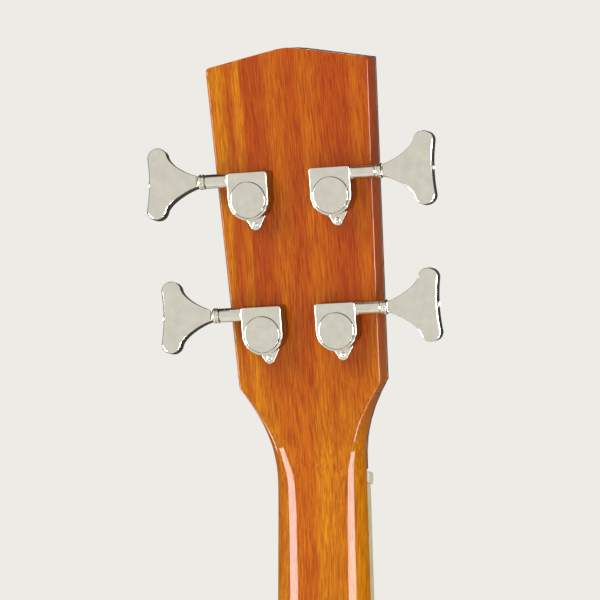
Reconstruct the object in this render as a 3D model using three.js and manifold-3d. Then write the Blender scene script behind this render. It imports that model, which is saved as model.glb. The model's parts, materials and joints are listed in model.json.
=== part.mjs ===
// Four-string acoustic bass guitar with a 32 inch scale, in millimetres.
// X points to the treble side, Y to the back of the instrument and Z up along the neck.
// The pieces are placed from the nut: z = 0 is the end of the fingerboard at the nut, and
// y = 0 is the plane of the soundboard's face. At the end the whole instrument is moved so
// that its origin is the point where a hanger's yoke holds it, under the headstock.

import * as THREE from 'three';
import { mergeVertices } from 'three/addons/utils/BufferGeometryUtils.js';
import Module from 'manifold-3d';

const wasm = await Module();
wasm.setup();

// Shared clearances and roundness
const seatGap = 0.3;
const runGap = 0.3;
const overrun = 4;
const mergeDistance = 1e-4;
const roundSides = 16;
const smallSides = 10;
const arcSteps = 6;
const fullTurn = 2 * Math.PI;
const rightAngle = Math.PI / 2;

// Strings and scale
const scaleLength = 812.8;
const stringNames = ['e', 'a', 'd', 'g'];
const stringDiameters = [2.4, 1.9, 1.6, 1.15];
const nutStringSpacing = 11;
const saddleStringSpacing = 18;
const fretsToBody = 14;
const fretCount = 20;
const semitonesPerOctave = 12;

// Neck
const nutHalfWidth = 21;
const bodyJoinHalfWidth = 29;
const neckDepthAtNut = 15.2;
const neckDepthAtBody = 18.5;
const neckRoundPower = 2.25;
const sectionSteps = 12;

// Headstock
const headTilt = THREE.MathUtils.degToRad(13.5);
const headThickness = 14;
const shoulderHeight = 42;
const shoulderHalfWidth = 33.9;
const flarePower = 2.25;
const cornerHeight = 191;
const cornerHalfWidth = 38.8;
const crestRise = 7.5;
const crestRoundHalfWidth = 6;
const flatStart = 14.5;
const veneerThickness = 2;

// Heel and the tenon that holds the neck in the body
const heelRootLength = 68;
const heelCapLength = 12;
const heelKeelDepth = 106;
const heelSweepPower = 2.7;
const heelRoundPower = 1.95;
const heelCapInset = 1;
const heelSteps = 8;
const tenonHalfWidth = 12;
const tenonLength = 18;
const tenonTopDepth = 8;
const tenonBottomDepth = 80;

// Truss rod and its cover
const rodHalfWidth = 3;
const rodDepth = 8.4;
const rodNutHalfWidth = 3;
const rodNutLength = 15;
const rodTailMargin = 18;
const pocketHalfWidth = 5;
const pocketHeight = 32;
const coverHalfWidth = 12.5;
const coverTopHalfWidth = 7;
const coverHeight = 42;
const coverThickness = 2;
const coverStart = 2.5;

// Nut
const nutDepth = 6;
const nutOverhang = 0.7;
const nutRise = 2.9;
const nutStringLift = 0.5;

// Fingerboard
const boardThickness = 6.5;
const boardEndMargin = 9;
const boardBindingWidth = 1.8;
const fretHeight = 1.2;
const fretHalfWidth = 1.3;
const fretCrownShare = 0.55;

// Body
const bodyLength = 520;
const lowerHalfWidth = 216;
const depthAtNeck = 100;
const depthAtTail = 125;
const soundboardThickness = 3.5;
const backThickness = 3;
const sideThickness = 2.5;
const bindingWidth = 2.2;
const bindingDepth = 6;
const liningWidth = 5.5;
const liningDepth = 14;
const outlineSteps = 56;
const outlineShares = [
  [[0.46, 0], [0.72, 0.07], [0.72, 0.2]],
  [[0.72, 0.285], [0.61, 0.32], [0.61, 0.4]],
  [[0.61, 0.5], [1, 0.56], [1, 0.735]],
  [[1, 0.89], [0.6, 1], [0, 1]],
];
const soundholeRadius = 50;
const soundholeFromBoard = 56;
const holeSides = 32;

// Blocks and braces
const neckBlockHalfWidth = 36;
const neckBlockLength = 52;
const tailBlockHalfWidth = 32;
const tailBlockLength = 24;
const braceHalfWidth = 5;
const braceDepth = 13;
const crossFromHole = 33;
const crossUpperLength = 150;
const crossLowerLength = 285;
const crossAngle = THREE.MathUtils.degToRad(45);
const holeBraceFromHole = 24;
const holeBraceHalfLength = 140;
const backBraceDepth = 15;
const upperBackBraceShare = 0.21;
const lowerBackBraceShare = 0.76;

// Bridge, saddle and pins
const bridgeHalfWidth = 85;
const bridgeLength = 38;
const bridgeThickness = 8.3;
const bridgeWingThickness = 4;
const bridgeFlatHalfWidth = 44;
const bridgeCornerRadius = 8;
const saddleFromFront = 11;
const saddleHalfLength = 37;
const saddleThickness = 3.2;
const saddleSeatDepth = 5;
const saddleSlant = THREE.MathUtils.degToRad(2.4);
const actionAtTwelfth = 2.6;
const pinFromSaddle = 16;
const pinRadius = 3.5;
const pinTipRadius = 2.9;
const pinHeadRadius = 4.6;
const pinHeadHeight = 4.2;
const pinBelow = 18;
const stringTail = 15;
const bridgePlateHalfWidth = 62;
const bridgePlateThickness = 3;

// End pin
const endPinShaftRadius = 5.4;
const endPinShaftLength = 21;
const endPinCollarRadius = 7.5;
const endPinWaistRadius = 5.6;
const endPinHeadRadius = 8.5;
const endPinLength = 15;
const endPinHeadThickness = 4;

// Tuner, measured from the axis of its post on the back face of the headstock
const lowerTunerHalfSpacing = 17.6;
const upperTunerHalfSpacing = 19.6;
const lowerTunerFromShoulder = 25.8;
const upperTunerFromShoulder = 87.8;
const housingHalfWidth = 9.5;
const housingTop = 12.7;
const housingHeight = 11.2;
const housingFloor = 1.5;
const tabTip = 14.6;
const tabTipRadius = 2.3;
const tabHalfWidth = 6.5;
const tabThickness = 1.5;
const lidRadius = 8.25;
const lidThickness = 2;
const lidSeatDepth = 1.6;
const wormOffset = 9.4;
const wormHeight = 6.5;

// Worm drive
const wheelTeeth = 16;
const wheelTipRadius = 7.6;
const wheelRootRadius = 6.7;
const wheelPitchRadius = 7.3;
const wheelFace = 3;
const toothTipHalf = 0.38;
const toothRootHalf = 0.7;
const wormTipRadius = 2.4;
const wormRootRadius = 1.5;
const threadTipHalf = 0.36;
const threadRootHalf = 0.62;
const threadTurns = 3;
const threadHalfLength = 4;
const farJournalRadius = 1.45;
const farJournalLength = 3;
const shaftRadius = 2.35;
const sleeveRadius = 3.2;
const sleeveEnd = 20.6;
const collarRadius = 3.5;
const collarLength = 2.7;
const shaftTipRadius = 1.5;
const shaftTipLength = 8;

// Key
const keyLength = 24.2;
const keyHalfSpan = 16.8;
const keyStemHalf = 2.6;
const keyLobeRadius = 4.5;
const keyLobeStart = Math.PI * 1.07;
const keyEarRun = 5.3;
const keyHollow = 1.3;
const keyThickness = 5.6;
const keyBevel = 0.7;
// Where each key was left by the last tuning, in degrees about its shaft, in the order of the strings
const keyRests = [3, 9, 15, 13];
const keyCurveSteps = 4;

// Post and bushing
const wheelSeatRadius = 2.8;
const wheelSeatOver = 0.8;
const journalRadius = 3.9;
const postRadius = 5;
const postWaistRadius = 4;
const postTopRadius = 5.4;
const postHeight = 23.5;
const postNeckHeight = 1;
const postTopBand = 3;
const postSlotWidth = 3.2;
const postSlotDepth = 7;
const bushingRadius = 6.4;
const bushingSleeve = 8;
const washerRadius = 9;
const washerThickness = 0.8;
const hexRadius = 8;
const hexThickness = 2.4;

// String windings on the posts
const windingTurns = 1.75;
const windingSteps = 24;
const windingSides = 6;
const windingGap = 0.45;
const lowerWindingHeight = 0.3;
const upperWindingHeight = 8.2;
const bendSteps = 3;
const bendRadius = 3;

const amberWood = finish(0xb86a1e, 0.18, 0);
const rosewood = finish(0x3a2119, 0.45, 0);
const spruce = finish(0xd9b27a, 0.3, 0);
const paleWood = finish(0xc9a877, 0.7, 0);
const cream = finish(0xe8d8a8, 0.35, 0);
const ivory = finish(0xefe6cf, 0.3, 0);
const chrome = finish(0xd4d2c8, 0.12, 1);
const brass = finish(0xb8924a, 0.3, 1);
const steel = finish(0x8c8c90, 0.35, 1);
const bronze = finish(0xb98a4e, 0.4, 1);
const blackGloss = finish(0x15130f, 0.2, 0);

function finish(color, roughness, metalness) {
  return new THREE.MeshStandardMaterial({ color, roughness, metalness });
}

// A closed geometry becomes a solid: shared corners merged, empty triangles dropped, faces outward.
function solid(geometry) {
  const bare = geometry.clone();
  bare.deleteAttribute('normal');
  bare.deleteAttribute('uv');
  const merged = mergeVertices(bare, mergeDistance);
  const places = merged.attributes.position;
  const corners = [new THREE.Vector3(), new THREE.Vector3(), new THREE.Vector3()];
  const kept = [];
  let volume = 0;
  for (let i = 0; i < merged.index.count; i += 3) {
    const ids = [merged.index.getX(i), merged.index.getX(i + 1), merged.index.getX(i + 2)];
    if (ids[0] === ids[1] || ids[1] === ids[2] || ids[2] === ids[0]) continue;
    kept.push(ids);
    ids.forEach((id, k) => corners[k].fromBufferAttribute(places, id));
    volume += corners[0].dot(corners[1].clone().cross(corners[2]));
  }
  const faces = volume < 0 ? kept.map(([a, b, c]) => [a, c, b]) : kept;
  return new wasm.Manifold(new wasm.Mesh({
    numProp: 3,
    vertProperties: new Float32Array(places.array),
    triVerts: new Uint32Array(faces.flat()),
  }));
}

function piece(parent, name, material, body) {
  const mesh = body.getMesh();
  const geometry = new THREE.BufferGeometry();
  geometry.setAttribute('position', new THREE.BufferAttribute(new Float32Array(mesh.vertProperties), 3));
  geometry.setIndex(new THREE.BufferAttribute(new Uint32Array(mesh.triVerts), 1));
  geometry.computeVertexNormals();
  const node = new THREE.Mesh(geometry, material);
  node.name = name;
  parent.add(node);
  return node;
}

function block(x0, x1, y0, y1, z0, z1) {
  const geometry = new THREE.BoxGeometry(x1 - x0, y1 - y0, z1 - z0);
  geometry.translate((x0 + x1) / 2, (y0 + y1) / 2, (z0 + z1) / 2);
  return solid(geometry);
}

// A profile of [radius, height] pairs turned about Y.
function turned(profile, sides = roundSides) {
  return solid(new THREE.LatheGeometry(profile.map(([r, h]) => new THREE.Vector2(r, h)), sides));
}

function cylinderY(radius, y0, y1, sides = roundSides) {
  return turned([[0, y0], [radius, y0], [radius, y1], [0, y1]], sides);
}

// The same about X: a turned profile laid over.
function turnedX(profile, sides = roundSides) {
  const geometry = new THREE.LatheGeometry(profile.map(([r, h]) => new THREE.Vector2(r, h)), sides);
  geometry.rotateZ(-rightAngle);
  return solid(geometry);
}

// A flat outline in X and Z, filled in Y from the surface frontAt(z) to the surface backAt(z).
function filled(shape, frontAt, backAt, curveSegments = smallSides) {
  const geometry = new THREE.ExtrudeGeometry(shape, { depth: 1, bevelEnabled: false, curveSegments });
  const places = geometry.attributes.position;
  for (let i = 0; i < places.count; i += 1) {
    const z = places.getY(i);
    places.setXYZ(i, places.getX(i), places.getZ(i) > 0.5 ? frontAt(z) : backAt(z), z);
  }
  return solid(geometry);
}

function slab(shape, y0, y1, curveSegments) {
  return filled(shape, () => y0, () => y1, curveSegments);
}

// Rings of points, all alike in number, joined into a closed skin with a fan over each end.
function loft(rings) {
  const points = rings.flat();
  const size = rings[0].length;
  const triangles = [];
  for (let r = 0; r + 1 < rings.length; r += 1) {
    for (let i = 0; i < size; i += 1) {
      const j = (i + 1) % size;
      const a = r * size + i;
      const b = r * size + j;
      triangles.push(a, b, b + size, a, b + size, a + size);
    }
  }
  [[0, 1], [rings.length - 1, -1]].forEach(([r, turn]) => {
    const centre = points.length;
    points.push(rings[r].reduce((sum, p) => sum.add(p), new THREE.Vector3()).divideScalar(size));
    for (let i = 0; i < size; i += 1) {
      const pair = [r * size + i, r * size + (i + 1) % size];
      triangles.push(centre, ...(turn > 0 ? pair.reverse() : pair));
    }
  });
  const geometry = new THREE.BufferGeometry().setFromPoints(points);
  geometry.setIndex(triangles);
  return solid(geometry);
}

// A round tube along a list of points, its section carried along without twist.
function tube(points, radius, sides) {
  const tangents = points.map((p, i) => {
    const before = points[Math.max(i - 1, 0)];
    const after = points[Math.min(i + 1, points.length - 1)];
    return after.clone().sub(before).normalize();
  });
  let side = new THREE.Vector3(1, 0, 0).cross(tangents[0]).normalize();
  return loft(points.map((p, i) => {
    side = side.addScaledVector(tangents[i], -side.dot(tangents[i])).normalize();
    const other = tangents[i].clone().cross(side);
    return Array.from({ length: sides }, (unused, k) => {
      const angle = (k / sides) * fullTurn;
      return p.clone().addScaledVector(side, radius * Math.cos(angle))
        .addScaledVector(other, radius * Math.sin(angle));
    });
  }));
}

// Corners of a route, each rounded with an arc that starts a given reach before the corner.
function rounded(corners, reaches) {
  const route = [corners[0]];
  for (let i = 1; i + 1 < corners.length; i += 1) {
    const before = corners[i - 1].clone().sub(corners[i]);
    const after = corners[i + 1].clone().sub(corners[i]);
    const reach = reaches[i - 1];
    const from = corners[i].clone().addScaledVector(before.normalize(), reach);
    const to = corners[i].clone().addScaledVector(after.normalize(), reach);
    route.push(...new THREE.QuadraticBezierCurve3(from, corners[i], to).getPoints(bendSteps));
  }
  route.push(corners[corners.length - 1]);
  return route;
}

const instrument = new THREE.Group();
const headstock = new THREE.Group();
headstock.position.set(0, 0, nutDepth);
headstock.rotation.x = -headTilt;
instrument.add(headstock);

// A point of the headstock's own frame, seen from the instrument's frame.
function fromHead(x, y, up) {
  return new THREE.Vector3(x, y, up).applyEuler(headstock.rotation).add(headstock.position);
}

const fretPlace = (number) => -scaleLength * (1 - 2 ** (-number / semitonesPerOctave));
const bodyTop = fretPlace(fretsToBody);
const bodyEnd = bodyTop - bodyLength;
const boardEnd = fretPlace(fretCount) - boardEndMargin;
const neckHalfWidth = (z) => nutHalfWidth + (bodyJoinHalfWidth - nutHalfWidth) * (z / bodyTop);
const boardBack = -seatGap;
const boardFace = boardBack - boardThickness;
const fretTop = boardFace - fretHeight;
const veneerFace = -seatGap - veneerThickness;

// The upper strings are wound higher on their posts, to pass over the turns on the lower ones.
const lowerTuner = {
  spacing: lowerTunerHalfSpacing,
  up: shoulderHeight + lowerTunerFromShoulder,
  windingHeight: lowerWindingHeight,
};
const upperTuner = {
  spacing: upperTunerHalfSpacing,
  up: shoulderHeight + upperTunerFromShoulder,
  windingHeight: upperWindingHeight,
};
const tuners = [[lowerTuner, -1], [upperTuner, -1], [upperTuner, 1], [lowerTuner, 1]]
  .map(([pair, side], i) => ({
    name: stringNames[i], side, x: side * pair.spacing, keyRest: keyRests[i], ...pair,
  }));

// Neck, headstock, heel and tenon: one piece of wood

const flareStationShares = [0.2, 0.36, 0.44, 0.55, 0.7, 0.86, 1];
const flareDepthShares = [1.012, 1.001, 1.02, 1.05, 1.05, 1.05, 1.05];
const flarePowers = [4.6, 6, 7.5, 8.5, 16, 24, 40];
const neckStationShares = [0.66, 0.4, 0.2, 0.1, 0.03, 0];
const neckPowers = [neckRoundPower, neckRoundPower, neckRoundPower, 2.35, 2.7, 3.1];
const nutEdgePower = 3.7;

function flareHalfWidth(up) {
  const share = Math.min(Math.max(up / shoulderHeight, 0), 1);
  const risen = Math.max(up - shoulderHeight, 0) / (cornerHeight - shoulderHeight);
  return nutHalfWidth + (shoulderHalfWidth - nutHalfWidth) * share ** flarePower
    + (cornerHalfWidth - shoulderHalfWidth) * risen;
}

// Half of a rounded rectangle: a flat front and a back that bulges to depth.
function neckSection(halfWidth, depth, power, place) {
  return Array.from({ length: sectionSteps + 1 }, (unused, i) => {
    const angle = Math.PI * (i / sectionSteps);
    const across = Math.abs(Math.cos(angle)) ** (2 / power) * Math.sign(Math.cos(angle));
    return place(halfWidth * across, depth * Math.sin(angle) ** (2 / power));
  });
}

const neckDepth = (z) => neckDepthAtNut + (neckDepthAtBody - neckDepthAtNut) * (z / bodyTop);

function crestLine() {
  const slopeShare = 1 - crestRoundHalfWidth / cornerHalfWidth;
  const left = new THREE.Vector2(-crestRoundHalfWidth, cornerHeight + crestRise * slopeShare);
  const right = new THREE.Vector2(crestRoundHalfWidth, left.y);
  const apex = new THREE.Vector2(0, cornerHeight + crestRise);
  return new THREE.QuadraticBezierCurve(left, apex, right).getPoints(bendSteps);
}

function headOutline() {
  const flare = [0, ...flareStationShares].map((share) => share * shoulderHeight + seatGap);
  const right = flare.map((up) => new THREE.Vector2(flareHalfWidth(up), up));
  right.push(new THREE.Vector2(cornerHalfWidth, cornerHeight));
  const left = right.map((p) => new THREE.Vector2(-p.x, p.y)).reverse();
  return new THREE.Shape([...right, ...crestLine().reverse(), ...left]);
}

function neckWood() {
  const rings = [];
  const level = (z, depth, power) => rings.push(neckSection(neckHalfWidth(z), depth, power, (x, y) => (
    new THREE.Vector3(x, y, z))));
  const heelRun = heelRootLength - heelCapLength;
  for (let i = 0; i <= heelSteps; i += 1) {
    const above = i === 0 ? seatGap : heelCapLength + heelRun * ((i - 1) / (heelSteps - 1));
    const swept = (1 - Math.max(above - heelCapLength, 0) / heelRun) ** heelSweepPower;
    level(bodyTop + above, neckDepth(bodyTop + above) + (heelKeelDepth - neckDepthAtBody) * swept,
      neckRoundPower + (heelRoundPower - neckRoundPower) * swept);
  }
  neckStationShares.forEach((share, i) => level(bodyTop * share, neckDepth(bodyTop * share), neckPowers[i]));
  const halfTilt = new THREE.Euler(-headTilt / 2, 0, 0);
  rings.push(neckSection(nutHalfWidth, neckDepthAtNut, nutEdgePower, (x, y) => (
    new THREE.Vector3(x, y, 0).applyEuler(halfTilt).add(headstock.position))));
  flareStationShares.forEach((share, i) => {
    const up = share * shoulderHeight;
    const depth = headThickness * flareDepthShares[i];
    rings.push(neckSection(flareHalfWidth(up), depth, flarePowers[i], (x, y) => fromHead(x, y, up)));
  });
  const topUp = cornerHeight + crestRise + overrun;
  rings.push(neckSection(flareHalfWidth(topUp), headThickness * flareDepthShares[flareDepthShares.length - 1],
    flarePowers[flarePowers.length - 1], (x, y) => fromHead(x, y, topUp)));
  let wood = loft(rings);

  // The flat back of the headstock starts just above the nut.
  const far = headThickness + housingHeight;
  const above = cornerHeight + crestRise + 2 * overrun;
  const planer = new THREE.Shape([
    new THREE.Vector2(-shoulderHalfWidth * 2, flatStart), new THREE.Vector2(shoulderHalfWidth * 2, flatStart),
    new THREE.Vector2(shoulderHalfWidth * 2, above), new THREE.Vector2(-shoulderHalfWidth * 2, above),
  ]);
  const corner = cornerHalfWidth + 2 * overrun;
  const crestEnd = cornerHeight + crestRise - crestRise * (corner / cornerHalfWidth);
  const crest = new THREE.Shape([
    new THREE.Vector2(-corner, crestEnd), ...crestLine(), new THREE.Vector2(corner, crestEnd),
    new THREE.Vector2(corner, above + overrun), new THREE.Vector2(-corner, above + overrun),
  ]);
  let inHead = slab(planer, headThickness, far);
  inHead = inHead.add(slab(crest, -overrun, far));
  tuners.forEach((tuner) => {
    const hole = cylinderY(bushingRadius + seatGap, -overrun, headThickness + overrun);
    inHead = inHead.add(hole.translate([tuner.x, 0, tuner.up]));
  });
  inHead = inHead.add(block(-pocketHalfWidth, pocketHalfWidth, -overrun, rodDepth / 2, nutDepth,
    pocketHeight));
  wood = wood.subtract(moved(inHead, headstock));

  const heelCap = depthAtNeck - heelCapInset;
  wood = wood.subtract(block(-bodyJoinHalfWidth, bodyJoinHalfWidth, heelCap, heelKeelDepth + overrun,
    bodyTop - overrun, bodyTop + heelRootLength));
  const tenon = block(-tenonHalfWidth, tenonHalfWidth, tenonTopDepth, tenonBottomDepth,
    bodyTop - tenonLength, bodyTop + overrun);

  // Channel for the truss rod, open to the fingerboard and to the pocket in the headstock.
  const channelHalf = rodHalfWidth + seatGap;
  return wood.add(tenon).subtract(block(-channelHalf, channelHalf, -overrun,
    rodDepth + 2 * seatGap, bodyTop + rodTailMargin - seatGap, nutDepth + rodNutLength + 2 * overrun));
}

// A solid of a group's own frame, moved to where that group puts it.
function moved(body, group) {
  group.updateMatrix();
  return body.transform(group.matrix.elements);
}

piece(instrument, 'neck', amberWood, neckWood());

// Veneer on the face of the headstock, cut for the posts and the truss rod nut

let veneer = slab(headOutline(), veneerFace, -seatGap);
tuners.forEach((tuner) => {
  const hole = cylinderY(bushingRadius + seatGap, veneerFace - overrun, overrun);
  veneer = veneer.subtract(hole.translate([tuner.x, 0, tuner.up]));
});
veneer = veneer.subtract(block(-pocketHalfWidth, pocketHalfWidth, veneerFace - overrun, overrun,
  nutDepth, pocketHeight));
piece(headstock, 'headstock_veneer', rosewood, veneer);

// Truss rod: a flat double bar with a hexagon nut at the headstock end

const rodMiddle = seatGap + rodDepth / 2;
const rodBar = block(-rodHalfWidth, rodHalfWidth, seatGap, seatGap + rodDepth, bodyTop + rodTailMargin,
  nutDepth / 2);
const rodNut = new THREE.CylinderGeometry(rodNutHalfWidth, rodNutHalfWidth, rodNutLength, 6);
rodNut.rotateX(rightAngle);
rodNut.translate(0, rodMiddle, nutDepth / 2 + rodNutLength / 2 - overrun / 2);
piece(instrument, 'truss_rod', steel, rodBar.add(solid(rodNut)));

// Truss rod cover: a small bell-shaped plate over the pocket

function coverShape() {
  const shape = new THREE.Shape();
  const waist = (coverHalfWidth + coverTopHalfWidth) / 2;
  const top = coverStart + coverHeight;
  shape.moveTo(-coverHalfWidth, coverStart);
  shape.lineTo(coverHalfWidth, coverStart);
  shape.bezierCurveTo(coverHalfWidth, coverStart + coverHeight / 2, coverTopHalfWidth, waist + coverStart,
    coverTopHalfWidth, top - coverTopHalfWidth);
  shape.absarc(0, top - coverTopHalfWidth, coverTopHalfWidth, 0, Math.PI, false);
  shape.bezierCurveTo(-coverTopHalfWidth, waist + coverStart, -coverHalfWidth, coverStart + coverHeight / 2,
    -coverHalfWidth, coverStart);
  return shape;
}
const coverBack = veneerFace - seatGap;
piece(headstock, 'truss_rod_cover', blackGloss, slab(coverShape(), coverBack - coverThickness, coverBack,
  arcSteps));

// Nut, with a slot for each string

const nutFace = boardFace - nutRise;
const nutStringBottom = fretTop - nutStringLift;
const stringX = (i, spacing) => (i - (stringNames.length - 1) / 2) * spacing;
let nut = block(-nutHalfWidth - nutOverhang, nutHalfWidth + nutOverhang, nutFace, -seatGap,
  seatGap, nutDepth - seatGap);
stringDiameters.forEach((diameter, i) => {
  const half = diameter / 2 + seatGap;
  const x = stringX(i, nutStringSpacing);
  nut = nut.subtract(block(x - half, x + half, nutFace - overrun, nutStringBottom + seatGap, -overrun,
    nutDepth + overrun));
});
piece(instrument, 'nut', ivory, nut);

// Fingerboard with its frets: the side view with a bump for each fret, widened towards the body

function boardWithFrets() {
  const side = new THREE.Shape();
  side.moveTo(boardBack, 0);
  side.lineTo(boardBack, boardEnd);
  side.lineTo(boardFace, boardEnd);
  for (let number = fretCount; number >= 1; number -= 1) {
    const z = fretPlace(number);
    const crownHalf = fretHalfWidth * fretCrownShare;
    side.lineTo(boardFace, z - fretHalfWidth);
    side.lineTo(fretTop, z - crownHalf);
    side.lineTo(fretTop, z + crownHalf);
    side.lineTo(boardFace, z + fretHalfWidth);
  }
  side.lineTo(boardFace, 0);
  const geometry = new THREE.ExtrudeGeometry(side, { depth: 1, bevelEnabled: false });
  const places = geometry.attributes.position;
  for (let i = 0; i < places.count; i += 1) {
    const z = places.getY(i);
    const half = neckHalfWidth(z) - boardBindingWidth - seatGap;
    places.setXYZ(i, places.getZ(i) > 0.5 ? half : -half, places.getX(i), z);
  }
  return solid(geometry);
}
piece(instrument, 'fingerboard', rosewood, boardWithFrets());

function boardBindingShape() {
  const outer = neckHalfWidth(boardEnd);
  const inner = neckHalfWidth(boardEnd) - boardBindingWidth;
  const innerTop = nutHalfWidth - boardBindingWidth;
  return new THREE.Shape([
    new THREE.Vector2(nutHalfWidth, 0), new THREE.Vector2(innerTop, 0),
    new THREE.Vector2(inner, boardEnd - seatGap), new THREE.Vector2(-inner, boardEnd - seatGap),
    new THREE.Vector2(-innerTop, 0), new THREE.Vector2(-nutHalfWidth, 0),
    new THREE.Vector2(-outer, boardEnd - seatGap - boardBindingWidth),
    new THREE.Vector2(outer, boardEnd - seatGap - boardBindingWidth),
  ]);
}
piece(instrument, 'fingerboard_binding', cream, slab(boardBindingShape(), boardFace, boardBack));

// Body: one outline, set in by the thickness of what lies outside each piece

const outline = bodyOutline();
const backPlane = (z) => depthAtNeck + (depthAtTail - depthAtNeck) * ((bodyTop - z) / bodyLength);

// The right half from neck to tail in four curves, then the same curves back up on the left.
function bodyOutline() {
  const at = ([across, along], side) => (
    new THREE.Vector2(side * lowerHalfWidth * across, bodyTop - bodyLength * along));
  const path = new THREE.Path();
  const ends = [[0, 0], ...outlineShares.map((curve) => curve[2])];
  path.moveTo(...at(ends[0], 1).toArray());
  outlineShares.forEach((curve) => path.bezierCurveTo(...curve.flatMap((point) => at(point, 1).toArray())));
  for (let i = outlineShares.length - 1; i >= 0; i -= 1) {
    const [near, far] = outlineShares[i];
    path.bezierCurveTo(...[far, near, ends[i]].flatMap((point) => at(point, -1).toArray()));
  }
  return path.getSpacedPoints(outlineSteps).slice(0, -1);
}

function inset(distance) {
  return outline.map((p, i) => {
    const before = outline[(i + outline.length - 1) % outline.length];
    const after = outline[(i + 1) % outline.length];
    const along = after.clone().sub(before).normalize();
    return new THREE.Vector2(p.x + along.y * distance, p.y - along.x * distance);
  });
}

// A band that follows the outline, between two insets.
function band(outside, inside, frontAt, backAt) {
  const hollow = new THREE.Shape(inset(inside));
  const core = filled(hollow, (z) => frontAt(z) - overrun, (z) => backAt(z) + overrun);
  return filled(new THREE.Shape(inset(outside)), frontAt, backAt).subtract(core);
}

const rimInset = bindingWidth + seatGap;
const liningInset = sideThickness + seatGap;
const innerInset = liningInset + liningWidth;
const underTop = soundboardThickness + seatGap;
const overBack = (z) => backPlane(z) - backThickness - seatGap;

const holeCentre = boardEnd - soundholeFromBoard;
const saddlePlace = (x) => -scaleLength + x * Math.tan(saddleSlant);
const pinRow = -scaleLength - pinFromSaddle;
const pinHoleRadius = pinRadius + 1.4 * seatGap;

function pinHoles(body, y0, y1) {
  return stringNames.reduce((left, name, i) => {
    const hole = cylinderY(pinHoleRadius, y0, y1, smallSides);
    return left.subtract(hole.translate([stringX(i, saddleStringSpacing), 0, pinRow]));
  }, body);
}

const soundboardShape = new THREE.Shape(inset(rimInset));
const soundboard = slab(soundboardShape, 0, soundboardThickness)
  .subtract(cylinderY(soundholeRadius, -overrun, overrun * 2, holeSides).translate([0, 0, holeCentre]));
piece(instrument, 'soundboard', spruce, pinHoles(soundboard, -overrun, overrun * 2));
piece(instrument, 'back', amberWood,
  filled(new THREE.Shape(inset(rimInset)), (z) => backPlane(z) - backThickness, backPlane));
piece(instrument, 'top_binding', cream, band(0, bindingWidth, () => 0, () => bindingDepth));
piece(instrument, 'back_binding', cream,
  band(0, bindingWidth, (z) => backPlane(z) - bindingDepth, backPlane));

const tenonSlot = block(-tenonHalfWidth - seatGap, tenonHalfWidth + seatGap, tenonTopDepth - seatGap,
  tenonBottomDepth + seatGap, bodyTop - tenonLength - seatGap, bodyTop + overrun);
const endPinHeight = (depthAtTail + soundboardThickness - backThickness) / 2;
const endPinHole = cylinderY(endPinShaftRadius + seatGap, -overrun, endPinShaftLength + tailBlockLength)
  .rotate([90, 0, 0]).translate([0, endPinHeight, bodyEnd]);
const sides = band(0, sideThickness, () => bindingDepth + seatGap,
  (z) => backPlane(z) - bindingDepth - seatGap);
piece(instrument, 'sides', amberWood, sides.subtract(tenonSlot).subtract(endPinHole));

const neckBlockSpace = (margin) => block(-neckBlockHalfWidth - margin, neckBlockHalfWidth + margin,
  -overrun, depthAtTail, bodyTop - neckBlockLength - margin, bodyTop + overrun);
const topLining = band(liningInset, innerInset, () => underTop, () => underTop + liningDepth);
const backLining = band(liningInset, innerInset, (z) => overBack(z) - liningDepth, overBack);
piece(instrument, 'top_lining', paleWood, topLining.subtract(neckBlockSpace(seatGap)));
piece(instrument, 'back_lining', paleWood, backLining.subtract(neckBlockSpace(seatGap)));

const insideRim = filled(new THREE.Shape(inset(liningInset)), () => underTop, overBack);
piece(instrument, 'neck_block', paleWood, insideRim.intersect(neckBlockSpace(0)).subtract(tenonSlot));
const tailBlock = insideRim.intersect(block(-tailBlockHalfWidth, tailBlockHalfWidth, 0, 2 * depthAtTail,
  bodyEnd - overrun, bodyEnd + tailBlockLength));
const topLiningSpace = band(sideThickness, innerInset + seatGap, () => 0,
  () => underTop + liningDepth + seatGap);
const backLiningSpace = band(sideThickness, innerInset + seatGap, (z) => overBack(z) - liningDepth - seatGap,
  (z) => backPlane(z) + overrun);
piece(instrument, 'tail_block', paleWood,
  tailBlock.subtract(topLiningSpace).subtract(backLiningSpace).subtract(endPinHole));

// Braces: bars glued to the inside of the soundboard and the back, ending at the linings

const insideLining = filled(new THREE.Shape(inset(innerInset + seatGap)), () => underTop, overBack);
const crossCentre = holeCentre - soundholeRadius - crossFromHole;
const crossBar = (turn) => block(-braceHalfWidth, braceHalfWidth, underTop, underTop + braceDepth,
  -crossLowerLength, crossUpperLength)
  .rotate([0, turn * THREE.MathUtils.radToDeg(crossAngle), 0]).translate([0, 0, crossCentre]);
piece(instrument, 'x_brace', spruce, crossBar(1).add(crossBar(-1)).intersect(insideLining));
const holeBraceCentre = holeCentre + soundholeRadius + holeBraceFromHole;
piece(instrument, 'soundhole_brace', spruce, block(-holeBraceHalfLength, holeBraceHalfLength, underTop,
  underTop + braceDepth, holeBraceCentre - braceHalfWidth, holeBraceCentre + braceHalfWidth)
  .intersect(insideLining));

function backBrace(name, share) {
  const z = bodyTop - bodyLength * share;
  const strip = new THREE.Shape([
    new THREE.Vector2(-lowerHalfWidth, z - braceHalfWidth),
    new THREE.Vector2(lowerHalfWidth, z - braceHalfWidth),
    new THREE.Vector2(lowerHalfWidth, z + braceHalfWidth),
    new THREE.Vector2(-lowerHalfWidth, z + braceHalfWidth),
  ]);
  const bar = filled(strip, (at) => overBack(at) - backBraceDepth, (at) => overBack(at));
  piece(instrument, name, spruce, bar.intersect(insideLining));
}
backBrace('upper_back_brace', upperBackBraceShare);
backBrace('lower_back_brace', lowerBackBraceShare);

// Bridge: a rosewood bar with lowered wings, glued to the soundboard over a plate inside

const bridgeFront = -scaleLength + saddleFromFront;
const bridgeFace = -seatGap - bridgeThickness;

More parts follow.
